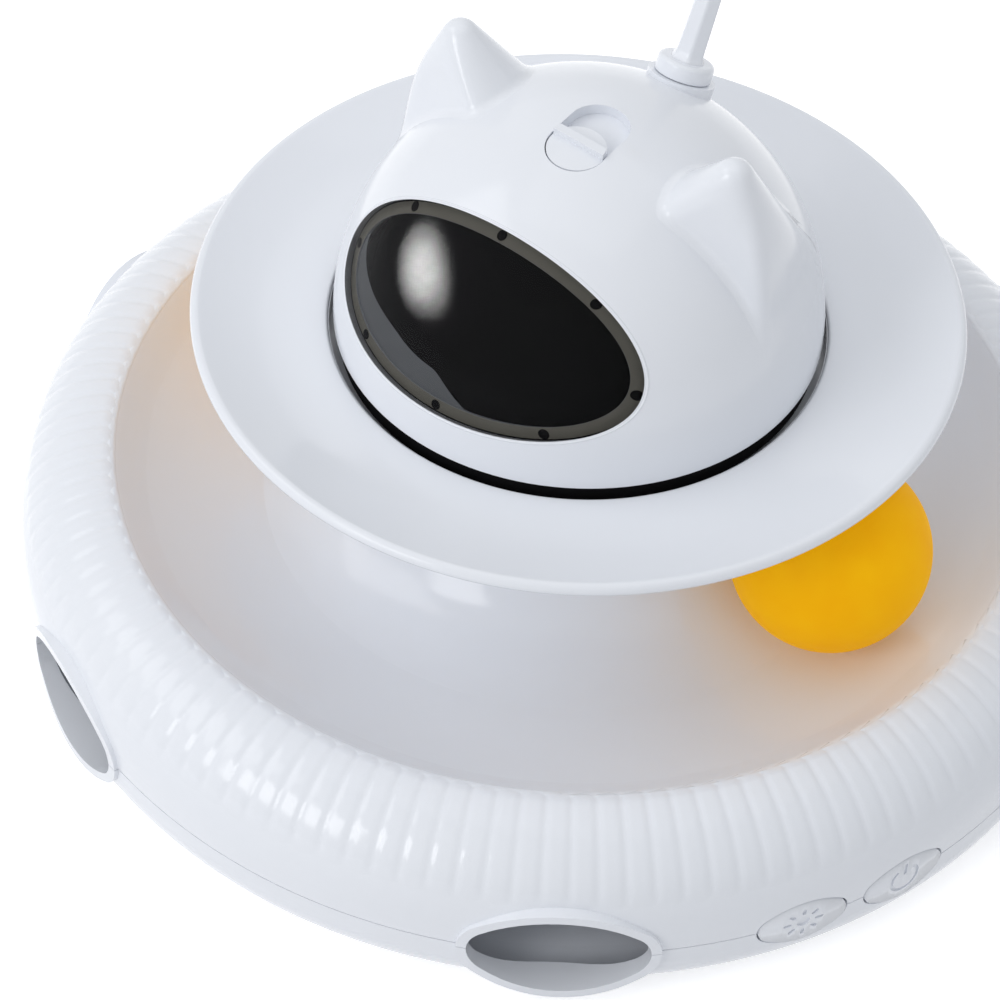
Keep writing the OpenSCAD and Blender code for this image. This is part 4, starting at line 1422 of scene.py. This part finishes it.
class Head(Part):
    """Turning head: shell, visor, switch, laser and turntable."""

    def build(self) -> None:
        """Dress the head's nodes and add its ears' skins and the visor's trim."""
        f, head = self.finish, HeadFrame()
        self.paint("head_shell", f.white)
        self.paint("visor", f.lens)
        self.paint("head_turntable", f.shade)
        self.paint("slider_knob", f.white)
        self.paint("slide_switch", f.inner)
        self.paint("head_screws", f.steel)
        self.paint("laser_module", f.brass)
        self.paint("laser_bracket", f.shade)
        self.paint("head_board", CircuitBoard("head_board_mask", axis=2, top=81.0 * MM).make())
        trim = VisorTrim(head)
        self.add(trim.bead(f.white), Body.HEAD, "white_plastic")
        # A black strip under the visor's edge: painted shadow of the gap round the visor.
        self.add(trim.film("visor_gap_shadow", trim.shade_in, trim.shade_w, f.shade),
                 Body.HEAD, "black_plastic")
        self.add(trim.film("visor_gasket", trim.shade_w, trim.gasket_w, f.gasket), Body.HEAD, "inner_plastic")
        # A grey sheet under the visor: painted reflection of the deck in the lens.
        self.add(trim.painted_reflection(f.painted_reflection), Body.HEAD, "inner_plastic")
        # Dark discs on the gasket: painted shade in the stake holes.
        self.add(trim.hole_shades("visor_stake_hole_shades", trim.stakes, f.shade), Body.HEAD, "black_plastic")
        for side in (-1, 1):
            self.add(EarSkin(side, head).build(f.white), Body.HEAD, "white_plastic")


@dataclass
class WandStem:
    """Collar and six-sided rod of the wand, with the soft edges of mouldings.

    Attributes:
        frame: Z along the wand, with the origin on the head.
        collar_z: Heights of the collar's ends.
        collar_r: Radius of the collar.
        collar_round: Radius of the collar's edges.
        peg_z: Height of the peg's lower end.
        peg_r: Radius of the peg.
        rod: Height and corner radius of the rod's foot, neck and end.
        soft: Share of the corner radius that the soft corners keep.
        flare: Growth of the rod where it meets the collar.
        flare_l: Length of the flare.
    """

    frame: Matrix
    collar_z: tuple[float, float] = (1.85 * MM, 5.3 * MM)
    collar_r: float = 5.7 * MM
    collar_round: float = 0.9 * MM
    peg_z: float = -8 * MM
    peg_r: float = 3 * MM
    rod: tuple[tuple[float, float], ...] = ((5.2 * MM, 3.15 * MM), (19.3 * MM, 2.75 * MM),
                                            (109.3 * MM, 1.9 * MM))
    soft: float = 0.955
    flare: float = 0.7 * MM
    flare_l: float = 2.2 * MM

    def collar(self, material: bpy.types.Material) -> bpy.types.Object:
        """Make the collar and the peg below it by turning a profile.

        Args:
            material: Its finish.

        Returns:
            The new object.
        """
        low, high = self.collar_z
        r, soft = self.collar_r, self.collar_round
        profile = [(0.0, self.peg_z), (self.peg_r, self.peg_z), (self.peg_r, low), (r - soft / 3, low)]
        profile += [(r - soft / 3 + soft / 3 * math.sin(t), low + soft / 3 * (1 - math.cos(t)))
                    for t in quarter_turn(4)[1:]]
        profile += [(r - soft + soft * math.cos(t), high - soft + soft * math.sin(t))
                    for t in quarter_turn(8)]
        profile.append((0.0, high))
        sides = 64
        points = [self.frame @ p for out, z in profile for p in circle(out, z, sides)]
        obj = mesh_piece("wand_collar_moulded", points, grid_faces(len(profile), sides, True), material)
        bmesh_clean(obj)
        return obj

    def stem(self, material: bpy.types.Material) -> bpy.types.Object:
        """Make the rod as a loft of soft six-sided sections.

        Args:
            material: Its finish.

        Returns:
            The new object.
        """
        foot, neck, end = (z for z, _ in self.rod)
        flare_steps, neck_steps, rod_steps, sixth = 8, 6, 12, 60
        heights = [foot + self.flare_l * k / flare_steps for k in range(flare_steps)]
        heights += [foot + self.flare_l + (neck - foot - self.flare_l) * k / neck_steps
                    for k in range(neck_steps + 1)]
        heights += [neck + (end - neck) * k / rod_steps for k in range(1, rod_steps + 1)]
        sides, points = 72, []
        for z in heights:
            (z0, r0), (z1, r1) = self.rod[:2] if z <= neck else self.rod[1:]
            corner = r0 + (r1 - r0) * (z - z0) / (z1 - z0)
            near = max(0.0, 1 - (z - foot) / self.flare_l)
            for k in range(sides):
                turn = 360 / sides * k
                flat = (corner * math.cos(math.radians(sixth / 2))
                        / math.cos(math.radians(turn % sixth - sixth / 2)))
                out = min(flat, self.soft * corner) + self.flare * near ** 3
                a = math.radians(turn)
                points.append(self.frame @ Vector((out * math.cos(a), out * math.sin(a), z)))
        faces = grid_faces(len(heights), sides, True)
        faces += [tuple(reversed(range(sides))), tuple(range(len(points) - sides, len(points)))]
        return mesh_piece("wand_rod_moulded", points, faces, material)


class Wand(Part):
    """Plug-in wand with its plume."""

    def build(self) -> None:
        """Dress the wand and build its stem and its plume."""
        f = self.finish
        self.paint("wand_tip", f.white)
        stem = WandStem(HeadFrame().wand())
        self.add(stem.collar(f.white), Body.HEAD, "white_plastic", "wand_collar")
        self.add(stem.stem(f.white), Body.HEAD, "white_plastic", "wand_rod")
        wand_end, in_front = 119.8 * MM, -1.2 * MM
        start = HeadFrame().wand() @ Matrix.Translation((0, 0, wand_end))
        plume = Feather("plume_orange", start, length=61 * MM, half=9.8 * MM, depth=2.6 * MM,
                        barbs=120, seed=11, shaft=6 * MM)
        self.add(plume.vane(f.orange_down), Body.HEAD, "feather", "wand_plume")
        self.add(plume.quill(f.white_down, radius=0.8 * MM), Body.HEAD, "feather")
        short = Feather("plume_yellow", start @ Matrix.Translation((0, in_front, 0)), length=44 * MM,
                        half=8.0 * MM, depth=2.2 * MM, barbs=90, seed=23, shaft=4 * MM)
        self.add(short.vane(f.yellow_down), Body.HEAD, "feather")


@dataclass
class CameraPlace:
    """Where the picture is taken from.

    Attributes:
        at: Place of the camera.
        pan: Turn to the right of +Y, in degrees.
        tilt: Dip below the horizon, in degrees.
        roll: Turn about the view, in degrees.
        lens: Focal length in mm.
        sensor: Width of the sensor in mm.
        near: Distance from which things are seen.
    """

    at: Triple = (-0.01804, -0.51662, 0.5655)
    pan: float = 0.463
    tilt: float = 46.549
    roll: float = 2.531
    lens: float = 129.6
    sensor: float = 36.0
    near: float = 10 * MM

    def build(self) -> None:
        """Make the camera and use it."""
        pan, tilt, roll = (math.radians(v) for v in (self.pan, self.tilt, self.roll))
        ahead = Vector((math.sin(pan) * math.cos(tilt), math.cos(pan) * math.cos(tilt), -math.sin(tilt)))
        right = Vector((math.cos(pan), -math.sin(pan), 0))
        up = right.cross(ahead)
        x = math.cos(roll) * right + math.sin(roll) * up
        y = -math.sin(roll) * right + math.cos(roll) * up
        data = bpy.data.cameras.new("camera")
        data.lens, data.sensor_width, data.clip_start = self.lens, self.sensor, self.near
        obj = bpy.data.objects.new("camera", data)
        obj.matrix_world = Matrix.Translation(self.at) @ Matrix((x, y, -ahead)).transposed().to_4x4()
        bpy.context.scene.collection.objects.link(obj)
        bpy.context.scene.camera = obj


class Reach(str, Enum):
    """How a lamp treats the glossy visor."""

    ALL = "ALL"
    NOT_VISOR = "EXCLUDE"
    VISOR = "INCLUDE"


@dataclass
class Softbox:
    """A soft rectangular lamp that faces the toy.

    Attributes:
        name: Its name.
        azimuth: Direction from the toy, in degrees from +X.
        elevation: Height above the floor, in degrees.
        distance: Distance from the toy.
        width: Its width.
        height: Its height.
        power: Its power in watts.
        visor: Whether it lights everything, all but the visor, or the visor alone.
        soft: Whether its light falls off to its edges.
        aim: Height of the point that it faces.
    """

    name: str
    azimuth: float
    elevation: float
    distance: float
    width: float
    height: float
    power: float
    visor: Reach = Reach.ALL
    soft: bool = False
    aim: float = 60 * MM

    def build(self) -> None:
        """Make the lamp."""
        data = bpy.data.lights.new(self.name, "AREA")
        data.shape, data.size, data.size_y = "RECTANGLE", self.width, self.height
        data.energy = self.power
        if self.soft:
            self.soften(data)
        obj = bpy.data.objects.new(self.name, data)
        out = direction(self.azimuth, self.elevation)
        obj.location = Vector((0, 0, self.aim)) + out * self.distance
        obj.rotation_euler = out.to_track_quat("Z", "Y").to_euler()
        bpy.context.scene.collection.objects.link(obj)
        if self.visor is not Reach.ALL:
            group = bpy.data.collections.new(self.name + "_reach")
            group.objects.link(frame["nodes"]["visor"])
            group.collection_objects[0].light_linking.link_state = self.visor.value
            obj.light_linking.receiver_collection = group

    @staticmethod
    def soften(data: bpy.types.Light) -> None:
        """Let the lamp's face fade towards its edges.

        Args:
            data: The lamp's data.
        """
        data.use_nodes = True
        nodes, links = data.node_tree.nodes, data.node_tree.links
        emission = next(n for n in nodes if n.type == "EMISSION")
        geometry = nodes.new("ShaderNodeNewGeometry")
        shift = nodes.new("ShaderNodeVectorMath")
        shift.operation = "SUBTRACT"
        shift.inputs[1].default_value = (0.5, 0.5, 0.0)
        size = nodes.new("ShaderNodeVectorMath")
        size.operation = "LENGTH"
        fade = nodes.new("ShaderNodeMapRange")
        fade.interpolation_type = "SMOOTHSTEP"
        for key, value in (("From Min", 0.5), ("From Max", 0.05), ("To Min", 0.0), ("To Max", 1.9)):
            fade.inputs[key].default_value = value
        links.new(geometry.outputs["Parametric"], shift.inputs[0])
        links.new(shift.outputs["Vector"], size.inputs[0])
        links.new(size.outputs["Value"], fade.inputs["Value"])
        links.new(fade.outputs["Result"], emission.inputs["Strength"])


class Studio:
    """Pale floor, white surround, soft lamps and the camera."""

    lamps = (
        Softbox("key", azimuth=-140, elevation=28, distance=1.2, width=0.5, height=0.42, power=2.9,
                visor=Reach.NOT_VISOR),
        Softbox("side", azimuth=180, elevation=45, distance=1.3, width=0.8, height=0.6, power=2.4,
                visor=Reach.NOT_VISOR),
        Softbox("top", azimuth=60, elevation=82, distance=1.1, width=1.0, height=1.0, power=1.7,
                visor=Reach.NOT_VISOR),
        Softbox("right", azimuth=10, elevation=30, distance=1.4, width=0.7, height=0.7, power=0.5),
        Softbox("back", azimuth=100, elevation=35, distance=1.4, width=0.8, height=0.7, power=0.4),
        Softbox("window", azimuth=180, elevation=16, distance=1.3, width=1.1, height=0.75, power=180.0,
                visor=Reach.VISOR, soft=True),
    )

    def build(self) -> None:
        """Make the studio."""
        self.surround()
        self.floor()
        for lamp in self.lamps:
            lamp.build()
        CameraPlace().build()
        bpy.context.scene.view_settings.view_transform = "Standard"
        LOG.info("built the studio")

    @staticmethod
    def surround(level: float = 0.57) -> None:
        """White to the eye and in mirrors, dimmer as a lamp.

        Args:
            level: Strength of its light on matt surfaces.
        """
        world = bpy.data.worlds.new("surround")
        bpy.context.scene.world = world
        world.use_nodes = True
        nodes, links = world.node_tree.nodes, world.node_tree.links
        shade = nodes["Background"]
        shade.inputs["Color"].default_value = (0.96, 0.98, 1.0, 1.0)
        shade.inputs["Strength"].default_value = level
        plain = nodes.new("ShaderNodeBackground")
        plain.inputs["Color"].default_value = (1.0, 1.0, 1.0, 1.0)
        plain.inputs["Strength"].default_value = 1.0
        mix = nodes.new("ShaderNodeMixShader")
        links.new(Studio.seen(nodes, links), mix.inputs[0])
        links.new(shade.outputs[0], mix.inputs[1])
        links.new(plain.outputs[0], mix.inputs[2])
        links.new(mix.outputs[0], nodes["World Output"].inputs["Surface"])

    @staticmethod
    def seen(nodes: bpy.types.Nodes, links: bpy.types.NodeLinks) -> bpy.types.NodeSocket:
        """Whether a ray comes from the eye, a mirror or a clear piece.

        Args:
            nodes: Nodes of the tree that needs it.
            links: Links of the same tree.

        Returns:
            A socket that gives 1 where it does, and 0 elsewhere.
        """
        ray = nodes.new("ShaderNodeLightPath")
        result = ray.outputs["Is Camera Ray"]
        for kind in ("Is Glossy Ray", "Is Transmission Ray"):
            either = nodes.new("ShaderNodeMath")
            either.operation = "MAXIMUM"
            links.new(result, either.inputs[0])
            links.new(ray.outputs[kind], either.inputs[1])
            result = either.outputs[0]
        return result

    def floor(self, size: float = 3.0, gap: float = 0.05 * MM, glow: float = 0.55) -> None:
        """Make the floor, which keeps the toy's shadow.

        Args:
            size: Half its width.
            gap: Its depth below the feet.
            glow: Light that it adds for the eye and in mirrors.
        """
        corners = [Vector((x * size, y * size, -gap)) for x, y in ((-1, -1), (1, -1), (1, 1), (-1, 1))]
        g = Graph("pale_floor")
        grain = g.noise(g.place(), scale=6.0)
        g.surface(base_color=g.blend(g.span(grain), (0.86, 0.86, 0.87), (0.84, 0.84, 0.85)),
                  roughness=0.6, specular_IOR_level=0.1)
        light = g.add("Emission", {"Color": (1, 1, 1, 1), "Strength": glow})
        both = g.add("AddShader", {0: g.shader.outputs[0], 1: light.outputs[0]})
        seen = self.seen(g.nodes, g.links)
        mix = g.add("MixShader", {0: seen, 1: g.shader.outputs[0], 2: both.outputs[0]})
        g.links.new(mix.outputs[0], g.nodes["Material Output"].inputs["Surface"])
        mesh_piece("pale_floor", corners, [(0, 1, 2, 3)], g.material, False)


def main() -> None:
    """Build the toy and its studio."""
    logging.basicConfig(level=logging.INFO, format="%(name)s: %(message)s")
    finish = Finish()
    for piece in (Base(finish), Drive(finish), Balls(finish), Head(finish), Wand(finish)):
        piece.build()
    Studio().build()


if __name__ == "__main__":
    main()
